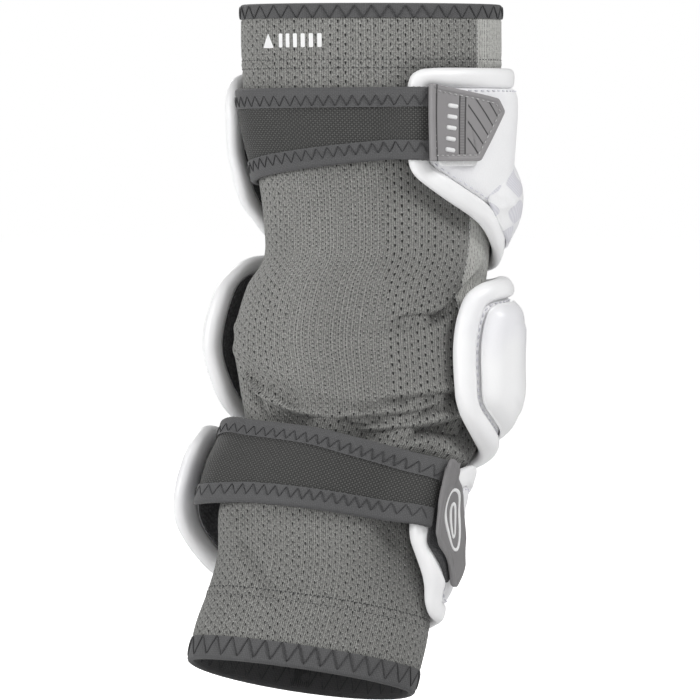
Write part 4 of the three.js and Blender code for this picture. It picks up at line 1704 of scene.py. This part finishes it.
def padded_disc(
    name: str,
    shape: DiscShape,
    edge: float,
    top: Callable[[Array, Array, Array], Array],
    bottom: Height,
    lift: Height,
    rim_drop: float = 0.0,
) -> Piece:
    """A closed pad: top and bottom faces over the same rings, joined by a rounded side.

    The side is a half ellipse from the bottom's edge to the top's edge.

    Args:
        name: Name of the piece.
        shape: Its rings.
        edge: Distance from the outline to the pad's side.
        top: Height of the top for turn, along and distance from the outline.
        bottom: Height of the bottom for turn and along.
        lift: Lift of the pad off the sleeve.
        rim_drop: How far the side bulges out between the two faces.

    Returns:
        The new object.
    """
    rings, far = shape.ring_set(edge)
    turn, along = rings[..., 0], rings[..., 1]
    depth = np.broadcast_to(far[:, None], turn.shape)
    direction = inward(shape.outline, shape.spread)
    high = top(turn, along, depth)
    low = bottom(turn[::-2], along[::-2])
    angle = np.linspace(0, math.pi, 7)[1:-1][:, None]
    side = inset(
        np.broadcast_to(rings[-1], (5, *rings[-1].shape)),
        np.broadcast_to(direction, (5, *direction.shape)), -rim_drop * np.sin(angle))
    ends = high[-1], bottom(turn[-1], along[-1])
    side_high = (ends[0] + ends[1]) / 2 + (ends[0] - ends[1]) / 2 * np.cos(angle)
    all_turn = np.concatenate([turn, side[..., 0], turn[::-2]])
    all_along = np.concatenate([along, side[..., 1], along[::-2]])
    all_high = np.concatenate([high, side_high, low])
    middle = shape.middle()
    pole_high = [
        float(top(middle[:1], middle[1:], np.array([shape.reach + 24.0]))[0]),
        float(bottom(middle[:1], middle[1:])[0])]
    poles = ARM.point(
        np.full(2, middle[0]), np.full(2, middle[1]), lift(middle[0], middle[1]) + pole_high)
    points = on_arm(all_turn, all_along, lift, all_high)
    cloth = np.vstack([
        np.stack([all_turn * MM_PER_DEGREE, all_along], -1).reshape(-1, 2),
        np.tile(middle * [MM_PER_DEGREE, 1], (2, 1))])
    piece = make_disc(name, points, poles, cloth, 70)
    keep_value(piece, "far", np.concatenate([
        depth.ravel(), np.zeros(side[..., 0].size), depth[::-2].ravel(), np.full(2, 99.0)]))
    return piece


@dataclass(frozen=True)
class Raised:
    """The raised outer part of a pad.

    Attributes:
        name: Name of its CAD node.
        outline: Its own outline, or None to set it in from the pad's.
        inset: Distance from the pad's outline where it has none of its own.
        edge: Height at its edge.
        height: Height in its middle.
        channels: Sewn channels, as rows for ridges().
        slot: white_shell makes it a hard shell; any other word makes it soft, puffed and quilted.
        shoulder: Distance over which the height grows.
        plateau: Height of the step round its middle.
        power: One for a firm edge, two for one that rises out of the body.
    """

    name: str
    outline: Corners | None
    inset: float
    edge: float
    height: float
    channels: Array
    slot: str
    shoulder: float = 4.2
    plateau: float = 0.0
    power: float = 1.0


@dataclass(frozen=True)
class Pad:
    """One guard: rolled rim, foam body, lining and raised part, with its sewn lines."""

    name: str
    outline: Corners
    lift: Height
    rim_height: Height
    body_height: float
    crown: float
    raised: Raised
    rim_width: float = 9.6
    liner_thickness: float = 1.2
    steps: int = 360
    sides: int = 22

    def curve(self) -> Array:
        """The outline as evenly spaced points."""
        return closed_curve(self.outline, self.steps)

    def build(self) -> None:
        """Makes the four parts and sews them."""
        self.make_rim()
        self.make_body()
        self.make_liner()
        self.make_raised()
        self.dress()

    def make_rim(self) -> None:
        """Carries the rim's section round the outline.

        The section is a superellipse as wide as the rim and as high as rim_height, whose
        outer shoulder is fuller than its inner one."""
        curve = self.curve()
        direction = inward(curve, 9)
        angle = circle(self.sides)
        cos, sin = np.cos(angle), np.sin(angle)
        full_cos = np.sign(cos) * np.abs(cos) ** 0.86
        full_sin = np.sign(sin) * np.abs(sin) ** 0.92
        distance = self.rim_width / 2 * (1 - full_cos * 1.02)
        turned = inset(curve[:, None], direction[:, None], distance[None, :])
        turn, along = turned[..., 0], turned[..., 1]
        run = circle(self.steps)[:, None]
        wave = 0.1 * np.sin(17 * run) * np.sin(5 * run + 1) + 0.06 * np.sin(43 * run)
        high = self.rim_height(turn, along) / 2 * (1 + full_sin * 1.02)
        high = high + wave * np.maximum(full_sin, 0)[None, :]
        points = on_arm(turn, along, self.lift, high)
        around = np.arange(self.steps + 1)[:, None] * 1.2
        across = np.arange(self.sides + 1)[None, :] * 1.2
        cloth = np.stack(np.broadcast_arrays(around, across), -1)
        piece = make_tube(f"{self.name}_rolled_rim", points, cloth)
        enter(piece, Look.SHELL, f"{self.name}_rim")

    def body_top(self, turn: Array, along: Array, far: Array) -> Array:
        """Top of the body: a groove beside the rim, then a crown that levels out inside.

        Args:
            turn: Degrees round the arm; not used.
            along: Distance from the upper mouth; not used.
            far: Distance from the outline.

        Returns:
            Millimetres over the pad's lift.
        """
        past = np.maximum(far - self.rim_width, 0)
        low = self.body_height - self.crown - 0.9
        return low + (self.crown + 0.9) * (1 - np.exp(-past / 3.0))

    def make_body(self) -> None:
        """Makes the foam body between the rim and the middle."""
        piece = padded_disc(
            f"{self.name}_foam_body", DiscShape(self.curve()), self.rim_width + 0.2,
            self.body_top, level(self.liner_thickness + 0.4), self.lift, 0.1)
        enter(piece, Look.JERSEY, f"{self.name}_pad")

    def make_liner(self) -> None:
        """Makes the lining, a thin pad on the side of the arm."""
        piece = padded_disc(
            f"{self.name}_lining", DiscShape(self.curve()), self.rim_width - 0.4,
            lambda t, a, far: self.liner_thickness + 0 * t, level(0.1), self.lift, 0.1)
        enter(piece, Look.LINING, f"{self.name}_liner")

    def raised_shape(self) -> DiscShape:
        """Rings of the raised part."""
        if self.raised.outline is not None:
            return DiscShape(
                closed_curve(self.raised.outline, 300), reach=10.0, inner_rings=44)
        curve = self.curve()
        own = inset(curve, inward(curve, 12), self.raised.inset)
        return DiscShape(own, reach=12.0)

    def raised_top(self, turn: Array, along: Array, far: Array) -> Array:
        """Top of the raised part: a shoulder that levels out, cut by the sewn channels.

        Args:
            turn: Degrees round the arm.
            along: Distance from the upper mouth.
            far: Distance from the outline.

        Returns:
            Millimetres over the pad's lift.
        """
        part = self.raised
        swell = 1 - np.exp(-((np.maximum(far, 0) / part.shoulder) ** part.power))
        wave = ridges(part.channels, turn, along) if len(part.channels) else 0
        step = part.plateau * ease(9.5, 12.0, far)
        return (self.raised_base() + part.edge + step
                + (part.height - part.edge) * swell + wave * swell)

    def raised_base(self) -> float:
        """Height that the raised part sits on; a soft one starts inside the body."""
        return self.body_height + (0.25 if self.raised.power == 1 else -0.35)

    def make_raised(self) -> None:
        """Makes the raised part."""
        hard = self.raised.slot == "white_shell"
        finish = Look.SHELL if hard else Look.QUILT
        shape = self.raised_shape()
        under = self.raised_base() - (0 if hard else 1.6)
        piece = padded_disc(
            f"{self.raised.name}_form", shape, 0.2, self.raised_top, level(under), self.lift,
            0.6)
        if not hard:
            self.cushion(piece, shape)
        enter(piece, finish, self.raised.name)

    def cushion(self, piece: Piece, shape: DiscShape) -> None:
        """Puffs the raised part up, held at its edge, its underside and its channels.

        Args:
            piece: The raised part.
            shape: Its rings.
        """
        rings, far = shape.ring_set(0.2)
        sewn = ridges(self.raised.channels, rings[..., 0], rings[..., 1]) < -1.9
        edge = np.broadcast_to((far < 0.6)[:, None], sewn.shape)
        top = (sewn | edge).ravel()
        held = np.ones(len(piece.data.vertices), bool)
        held[:len(top)] = top
        held[-2] = False
        Cushion().puff(piece, held)

    def dress(self) -> None:
        """Sews the body to the rim in the groove between them."""
        curve = self.curve()
        path = inset(curve, inward(curve, 12), self.rim_width + 1.3)
        path = np.vstack([path, path[:1]])
        far = np.array(self.rim_width + 1.3)

        def height(turn: Array, along: Array) -> Array:
            """Height of the groove."""
            return self.lift(turn, along) + self.body_top(turn, along, far)

        line = run_of_stitches(f"{self.name}_rim_stitches", path, height, 2.3, 1.3, 0.34)
        enter(line, Look.PALE_THREAD)


def bicep_lift(turn: Array, along: Array) -> Array:
    """Lift of the bicep pad: it stands off the arm at its left wing."""
    return 1 + 0.3 * ease(120, 40, turn) + ease(200, 246, turn) * (
        3.7 + 3 * ease(50, 74, along) * ease(106, 92, along))


def elbow_lift(turn: Array, along: Array) -> Array:
    """Lift of the elbow pad: it stands off at its left wing and swells at the right."""
    return 1 + 6.8 * ease(195, 256, turn) + 5.6 * (
        ease(122, 142, along) * ease(210, 178, along) * ease(135, 95, turn)
        * ease(42, 78, turn))


def forearm_lift(turn: Array, along: Array) -> Array:
    """Lift of the forearm pad: its left wing stands far off, its right side swells."""
    return 1 + 16.5 * ease(195, 260, turn) + 5.2 * (
        ease(212, 238, along) * ease(288, 264, along) * ease(145, 100, turn)
        * ease(42, 80, turn))


def bicep_rim_height(turn: Array, along: Array) -> Array:
    """Height of the bicep rim, thinner where it turns under and at its top edge."""
    return 7.6 - 2.6 * ease(100, 126, along) * ease(150, 80, turn) - 2 * (
        ease(48, 36, along) * ease(30, 60, turn) * ease(240, 200, turn))


def forearm_rim_height(turn: Array, along: Array) -> Array:
    """Height of the forearm rim, thinner at the right side's two ends."""
    return 9 - 3.4 * ease(150, 100, turn) * np.maximum(
        ease(272, 292, along), ease(234, 222, along) * ease(58, 80, turn))


NO_CHANNELS = np.zeros((0, 6))
PADS = (
    Pad("bicep", BICEP_OUTLINE, bicep_lift, bicep_rim_height, 8.3, 2.4, Raised(
        "bicep_bulge", BULGE_OUTLINE, 0, 0.1, 5.2, np.array([
            [104, 70, 116, 122, 2.6, -3.0],
            [150, 68, 150, 124, 2.6, -3.0],
            [200, 70, 188, 122, 2.6, -3.0],
        ]), "white_fabric", 7.5, power=2.0)),
    Pad("elbow", ELBOW_OUTLINE, elbow_lift, level(9.0), 7.0, 1.2, Raised(
        "elbow_cap", None, 11.6, 0.9, 7.0, NO_CHANNELS, "white_shell", 3.6, 0.7)),
    Pad("forearm", FOREARM_OUTLINE, forearm_lift, forearm_rim_height, 7.0, 1.6, Raised(
        "forearm_panel", FOREARM_PANEL_OUTLINE, 0, 0.4, 4.0, np.array([
            [80, 250, 240, 246, 2.2, -2.4],
            [80, 266, 236, 262, 2.2, -2.4],
        ]), "white_fabric", 5.0, power=2.0)),
)


@dataclass(frozen=True)
class Strap:
    """Elastic web across the crook with a folded, zigzag-sewn tape on each long edge."""

    node: str
    table: Array
    height: float = 3.2
    web_thickness: float = 1.4
    tape_width: float = 9.5
    tape_thickness: float = 0.6
    pitch: float = 5.3
    steps: int = 180

    def turns(self) -> Array:
        """Steps along the strap."""
        return np.linspace(self.table[0, 0], self.table[-1, 0], self.steps)

    def place(
        self, turn: Array, share: float, across: Array, height: Array
    ) -> Array:
        """A point of the strap, on the line between its edges plus an offset.

        Args:
            turn: Turn round the arm.
            share: 0 at the top edge, 1 at the bottom edge.
            across: Millimetres from that edge, downwards.
            height: Height over the strap's underside.

        Returns:
            Points in millimetres.
        """
        along = self.at(turn, share) + across
        return ARM.point(turn, along, self.under(turn, along) + height)

    def at(self, turn: Array, share: float) -> Array:
        """Distance along at a share of the way from the top edge to the bottom edge."""
        row = read_table(self.table, turn)
        return row[..., 0] + (row[..., 1] - row[..., 0]) * share

    def under(self, turn: Array, along: Array) -> Array:
        """Lift of the underside, which runs evenly from one edge's lift to the other's.

        Args:
            turn: Turn round the arm.
            along: Distance from the upper mouth.

        Returns:
            Millimetres off the sleeve.
        """
        top, bottom, top_lift, bottom_lift = np.moveaxis(read_table(self.table, turn), -1, 0)
        return top_lift + (bottom_lift - top_lift) * ((along - top) / (bottom - top))

    def reach(self) -> Array:
        """Length of the strap up to each step, along its middle."""
        return reaches(self.place(self.turns(), 0.5, 0.0, self.height))

    def build(self) -> None:
        """Makes the web and both tapes."""
        self.make_web()
        for share, edge in ((0.0, "top"), (1.0, "bottom")):
            self.make_tape(share, edge)

    def make_web(self) -> None:
        """Carries a flat rounded section along the strap, faintly gathered by the stitches."""
        turns = self.turns()
        wide = self.at(turns, 1.0) - self.at(turns, 0.0)
        run = np.linspace(0.0, 1.0, 26)
        low = (self.height - self.web_thickness) / 2
        share = np.concatenate([run, run[::-1]])[None, :]
        inner = 1.3 + share * (wide[:, None] - 2.6)
        crown = 0.35 * np.sin(math.pi * share) ** 2
        gather = 0.09 * np.sin(self.reach() / self.pitch * 2 * math.pi)[:, None] * (
            np.cos(math.pi * share) ** 4)
        side = np.concatenate([
            np.full(26, low + self.web_thickness), np.full(26, low)])[None, :]
        points = self.place(turns[:, None], 0.0, inner, side + crown + gather)
        across = np.concatenate([inner, inner[:, :1]], 1)
        cloth = np.stack([
            np.broadcast_to(self.reach()[:, None], across.shape), across], -1)
        piece = make_tube(f"{self.node}_web", points, cloth, closed_path=False, sharp=60)
        enter(piece, Look.WEBBING, self.node)

    def make_tape(self, share: float, edge: str) -> None:
        """Carries the folded section along one edge and sews its zigzag.

        Args:
            share: 0 at the top edge, 1 at the bottom edge.
            edge: Word for the edge in the names.
        """
        sign = 1 - 2 * share
        profile = folded_profile(self.tape_width, self.height / 2, self.tape_thickness)
        turns = self.turns()
        ripple = 0.1 * np.sin(self.reach() / self.pitch * 4 * math.pi)[:, None]
        points = self.place(
            turns[:, None], share, sign * profile[None, :, 0] + ripple,
            self.height / 2 + profile[None, :, 1])
        across = np.arange(len(profile) + 1)[None, :] * 0.8
        cloth = np.stack(np.broadcast_arrays(self.reach()[:, None], across), -1)
        node = f"{self.node}_{edge}_tape"
        piece = make_tube(f"{node}_fold", points, cloth, closed_path=False, sharp=50)
        enter(piece, Look.EDGE_TAPE, node)

        def side(turn: Array, part: float) -> Array:
            """Distance along of the zigzag's two sides."""
            return self.at(turn, share) + sign * (3.6 + (self.tape_width - 4.3) * part)

        line = zigzag(
            f"{node}_zigzag", (float(turns[0]), float(turns[-1])), side,
            lambda t, a: self.under(t, a) + self.height + 0.08, self.pitch, False, 0.25)
        enter(line, Look.DARK_THREAD)


@dataclass(frozen=True)
class Plate:
    """A thin flexible plate on the arm: a pull tab, a hook patch or a printed mark."""

    node: str
    corners: Corners
    lift: Height
    thickness: float
    radius: float = 2.5
    border: float = 0.0
    border_width: float = 2.2
    roll_turn: float | None = None
    points: int = 260
    reach: float = 4.4

    def shape(self) -> DiscShape:
        """Rings of the plate."""
        outline = rounded_polygon(self.corners, self.radius, self.points)
        return DiscShape(
            outline, spread=3, reach=self.reach, inner_rings=10, outer_rings=18,
            relax=0.25)

    def top(self, turn: Array, along: Array, far: Array) -> Array:
        """Top face: a raised border, a sewn channel inside it, and a rolled left edge.

        Args:
            turn: Degrees round the arm.
            along: Distance from the upper mouth; not used.
            far: Distance from the outline.

        Returns:
            Millimetres over the plate's lift.
        """
        flat = self.thickness + 0 * turn
        edge = self.border * ease(self.border_width + 0.5, self.border_width - 0.3, far)
        channel = -0.5 * self.border * np.exp(-(((far - self.border_width - 1.0) / 0.6) ** 2))
        roll = 0.0
        if self.roll_turn is not None:
            away = np.abs(turn - self.roll_turn) * MM_PER_DEGREE
            roll = 1.2 * np.exp(-((away / 1.25) ** 4))
        round_off = -0.35 * np.exp(-far / 0.35) * (self.thickness > 1)
        return flat + edge + channel + roll + round_off

    def face(self, turn: Array, along: Array) -> Array:
        """Lift of the flat part of the top face."""
        return self.lift(turn, along) + self.thickness

    def make(self, name: str) -> Piece:
        """Makes the plate's mesh.

        Args:
            name: Name of the piece.

        Returns:
            The new object.
        """
        return padded_disc(
            name, self.shape(), 0.05, self.top, level(0.02), self.lift, 0.15)


def on_plane(middle: tuple[float, float], points: Corners) -> Array:
    """Millimetre offsets round and along from a middle, as turn and distance along.

    Args:
        middle: Turn and distance along.
        points: Offsets in millimetres, to the right and down.

    Returns:
        Places as turn and distance along.
    """
    arc = float(ARM.arc(np.array(middle[0]), np.array(middle[1]), 12.0))
    return np.array(middle) + np.array(points, float) / [arc, 1.0]


@dataclass(frozen=True)
class PullTab:
    """Moulded rubber tab: a bordered plate with sewn stitches and plain marks."""

    plate: Plate
    rubber: Look
    dashes: tuple[tuple[float, float, float, float], ...] = ()
    rings: tuple[tuple[float, float, float, float, float], ...] = ()

    def build(self) -> None:
        """Makes the plate and what is on it."""
        plate = self.plate
        piece = plate.make(f"{plate.node}_rubber")
        enter(piece, self.rubber, plate.node)
        if self.dashes:
            self.sew()
            self.bars(f"{plate.node}_dashes", np.array(self.dashes), 1.15)
        for index, ring in enumerate(self.rings):
            self.make_ring(f"{plate.node}_ring_{index + 1}", *ring)

    def sew(self) -> None:
        """Sews light stitches in the channel inside the border."""
        outline = self.plate.shape().outline
        path = inset(outline, inward(outline, 3), self.plate.border_width + 1.0)
        path = np.vstack([path, path[:1]])
        line = run_of_stitches(
            f"{self.plate.node}_stitches", path,
            lambda t, a: self.plate.face(t, a) - 0.15, 1.7, 1.3, 0.26)
        enter(line, Look.LIGHT_THREAD)

    def bars(self, name: str, rows: Array, radius: float) -> None:
        """Lays straight printed bars on the plate.

        Args:
            name: Name of the piece.
            rows: Turn and distance along of both ends of each bar.
            radius: Radius of a bar, half sunk into the plate.
        """
        starts, ends = (
            on_arm(*rows[:, side].T, self.plate.face, -radius * 0.4)
            for side in (slice(0, 2), slice(2, 4)))
        out = ARM.normal((rows[:, 0] + rows[:, 2]) / 2, (rows[:, 1] + rows[:, 3]) / 2)
        line = make_threads(name, starts, ends, out, radius, 0.0, 10, 9)
        enter(line, Look.PRINT_WHITE)

    def make_ring(
        self, name: str, turn: float, along: float, wide: float,
        tall: float, lean: float,
    ) -> None:
        """Makes a plain raised oval, a round wire whose middle line is a leaning ellipse.

        Args:
            name: Name of the piece.
            turn: Turn of its middle.
            along: Distance along of its middle.
            wide: Half of its width, in degrees of turn.
            tall: Half of its height, in millimetres.
            lean: Degrees of turn by which its lower end is shifted.
        """
        angle, around = circle(96)[:, None], circle(12)[None, :]
        reach = 0.8 * np.cos(around)
        turns = turn + (wide + reach) * np.cos(angle) + lean * np.sin(angle)
        places = along + (tall + reach) * np.sin(angle)
        piece = make_tube(name, on_arm(turns, places, self.plate.face, 0.6 * np.sin(around)))
        enter(piece, Look.PRINT_WHITE)


def upper_hook_lift(turn: Array, along: Array) -> Array:
    """Lift of the upper hook patch, on the bicep pad."""
    return bicep_lift(turn, along) + 8.7


def upper_tab_lift(turn: Array, along: Array) -> Array:
    """Lift of the upper tab, on its patch and higher where it leaves the strap."""
    return upper_hook_lift(turn, along) + 1.1 + GAP + 2.2 * ease(31, 25, turn)


def lower_hook_lift(turn: Array, along: Array) -> Array:
    """Lift of the lower hook patch, on the forearm pad."""
    return forearm_lift(turn, along) + 7.5 + 2 * ease(70, 62, turn)


def lower_tab_lift(turn: Array, along: Array) -> Array:
    """Lift of the lower tab, on its patch and higher where it leaves the strap."""
    return lower_hook_lift(turn, along) + 1.1 + 2 * GAP + 4 * ease(60, 53, turn)


Rows = tuple[tuple[float, float, float, float], ...]


def stacked(row: tuple[float, float, float, float], step: tuple[float, float], count: int) -> Rows:
    """Copies of one line, each shifted by a step of turn and distance along."""
    shift = np.arange(count)[:, None] * np.array([*step, *step])
    return tuple(map(tuple, np.array(row) + shift))


UPPER_TAB = PullTab(
    Plate("upper_tab", UPPER_TAB_CORNERS, upper_tab_lift, 2.0, 1.2, 0.35, 1.7, 23.7),
    Look.UPPER_RUBBER,
    stacked((29.2, 69.6, 34.4, 70.5), (0.35, -5.2), 5),
)
LOWER_TAB = PullTab(
    Plate("lower_tab", LOWER_TAB_CORNERS, lower_tab_lift, 2.0, 1.2, 0.35, 1.4),
    Look.LOWER_RUBBER,
    rings=((65.4, 247.4, 5.8, 13.6, 4.6), (65.2, 247.8, 2.2, 7.6, 2.6)),
)


@dataclass(frozen=True)
class HookPatches:
    """The two hook patches under the tabs."""

    upper: Plate = Plate("upper_hook_patch", UPPER_HOOK_CORNERS, upper_hook_lift, 1.1)
    lower: Plate = Plate("lower_hook_patch", LOWER_HOOK_CORNERS, lower_hook_lift, 1.1)

    def build(self) -> None:
        """Makes both patches."""
        for plate, finish, slot in (
            (self.upper, Look.HOOK_WHITE, "hook_white"),
            (self.lower, Look.HOOK_GREY, "hook_grey"),
        ):
            enter(plate.make(f"{plate.node}_pile"), finish, plate.node)


@dataclass(frozen=True)
class CuffMarks:
    """Plain printed marks at the upper cuff: an arrow that points up, and bars."""

    sleeve: Sleeve
    middle: tuple[float, float] = (-42.0, 17.6)
    bar: tuple[float, float] = (2.2, 6.4)
    bars: int = 6
    pitch: float = 4.6

    def shapes(self) -> tuple[Corners, ...]:
        """Corners of every mark, in millimetres from the middle."""
        arrow = ((-15.0, 3.4), (-11.0, -3.4), (-7.0, 3.4))
        half, tall = self.bar[0] / 2, self.bar[1] / 2
        lefts = (-2.0 + self.pitch * k for k in range(self.bars))
        return (arrow, *(
            ((x - half, -tall), (x + half, -tall), (x + half, tall), (x - half, tall))
            for x in lefts))

    def build(self) -> None:
        """Lays the marks on the sleeve as thin film."""
        for index, corners in enumerate(self.shapes()):
            places = tuple(map(tuple, on_plane(self.middle, corners)))
            film = Plate(
                "", places, lambda t, a: self.sleeve.height(t, a) + 0.02, 0.14,
                radius=0.5, points=64, reach=0.7)
            piece = film.make(f"cuff_bar_{index}" if index else "cuff_arrow")
            enter(piece, Look.PRINT_WHITE)


@dataclass(frozen=True)
class Studio:
    """Pale level floor, soft lights, an even white sky and the camera.

    Attributes:
        distance: Camera distance in metres.
        elevation: Camera height over the level, in degrees.
        field: Width of the picture at the object, in metres.
        aim_x: Where the camera looks, along X.
        floor: Height of the floor.
        floor_size: Radius of the floor.
        sky: Strength of the even light from all sides.
        glow: Strength of the light that the camera sees in the floor.
    """

    distance: float = 3.0
    elevation: float = 1.5
    field: float = 0.336
    aim_x: float = -0.0096
    floor: float = -0.1695
    floor_size: float = 30.0
    sky: float = 0.22
    glow: float = 0.8

    def build(self) -> None:
        """Makes everything round the object."""
        self.make_floor()
        self.make_lights()
        self.make_camera()

    def make_floor(self) -> None:
        """Makes a level disc, its rings growing from the object outwards."""
        rings = np.concatenate([[0.0], np.geomspace(0.2, self.floor_size, 9)])
        angle = circle(64)
        points = np.stack([
            rings[:, None] * np.cos(angle), rings[:, None] * np.sin(angle),
            np.full((len(rings), len(angle)), self.floor)], -1)
        _, quads = grid_faces(len(rings), len(angle))
        piece = make_mesh("floor", points.reshape(-1, 3) / MM, [quads])
        material = bpy.data.materials.new("pale paper")
        material.use_nodes = True
        w = Wiring(material.node_tree)
        w.shade("Roughness", 0.9)
        w.shade("Emission Color", w.blend(
            w.result("Is Camera Ray", "ShaderNodeLightPath", {}),
            (0.0, 0.0, 0.0, 1.0), (1.0, 1.0, 1.0, 1.0)))
        w.shade("Emission Strength", self.glow)
        w.shade("Base Color", w.blend(
            w.noise(w.place(), 3.0, 2.0), (0.9, 0.9, 0.9, 1.0), (0.93, 0.93, 0.93, 1.0)))
        piece.data.materials.append(material)

    def light(self, name: str, place: Triple, size: float, power: float) -> None:
        """Adds a soft square light that faces the object.

        Args:
            name: Name of the light.
            place: Its place in metres.
            size: Its side in metres.
            power: Its power in watts.
        """
        lamp = bpy.data.lights.new(name, "AREA")
        lamp.size = size
        lamp.energy = power
        holder = bpy.data.objects.new(name, lamp)
        holder.location = place
        holder.rotation_euler = (-Vector(place)).to_track_quat("-Z", "Y").to_euler()
        bpy.context.scene.collection.objects.link(holder)

    def make_lights(self) -> None:
        """Key from the upper right, fill from the left, a weak front light, one from behind.

        The camera sees the sky plain white, while it lights the object less.
        """
        self.light("key", (1.7, -1.2, 1.9), 0.9, 46)
        self.light("fill", (-2.2, -1.4, 0.7), 1.1, 42)
        self.light("front", (0.2, -2.8, 0.9), 1.4, 5)
        self.light("behind", (-1.3, 2.2, 1.4), 1.1, 26)
        world = bpy.data.worlds.new("sky")
        world.use_nodes = True
        w = Wiring(world.node_tree)
        back = world.node_tree.nodes["Background"]
        back.inputs["Color"].default_value = (1.0, 1.0, 1.0, 1.0)
        seen = w.result("Is Camera Ray", "ShaderNodeLightPath", {})
        w.put(back.inputs["Strength"], seen * (1 - self.sky) + self.sky)
        bpy.context.scene.world = world
        bpy.context.scene.view_settings.view_transform = "Standard"

    def make_camera(self) -> None:
        """Sets the camera level with the elbow, at the photograph's angle."""
        lens = bpy.data.cameras.new("camera")
        lens.sensor_width = 36.0
        lens.lens = 36.0 * self.distance / self.field
        lens.clip_end = 30.0
        camera = bpy.data.objects.new("camera", lens)
        rise = math.radians(self.elevation)
        camera.location = (
            self.aim_x, -self.distance * math.cos(rise), self.distance * math.sin(rise))
        camera.rotation_euler = (math.radians(90) - rise, 0.0, 0.0)
        bpy.context.scene.collection.objects.link(camera)
        bpy.context.scene.camera = camera


def main() -> None:
    """Builds every sub-assembly in order, then the studio."""
    logging.basicConfig(level=logging.INFO, format="%(message)s")
    sleeve = Sleeve()
    for part in (
        sleeve,
        CuffBinding("upper_cuff_binding", sleeve.upper_tape, 0.0, 1),
        CuffBinding("lower_cuff_binding", sleeve.lower_tape, ARM_LENGTH, -1),
        *PADS,
        Strap("upper_strap", UPPER_STRAP),
        Strap("lower_strap", LOWER_STRAP),
        HookPatches(),
        UPPER_TAB,
        LOWER_TAB,
        CuffMarks(sleeve),
        Studio(),
    ):
        part.build()


if __name__ == "__main__":
    main()
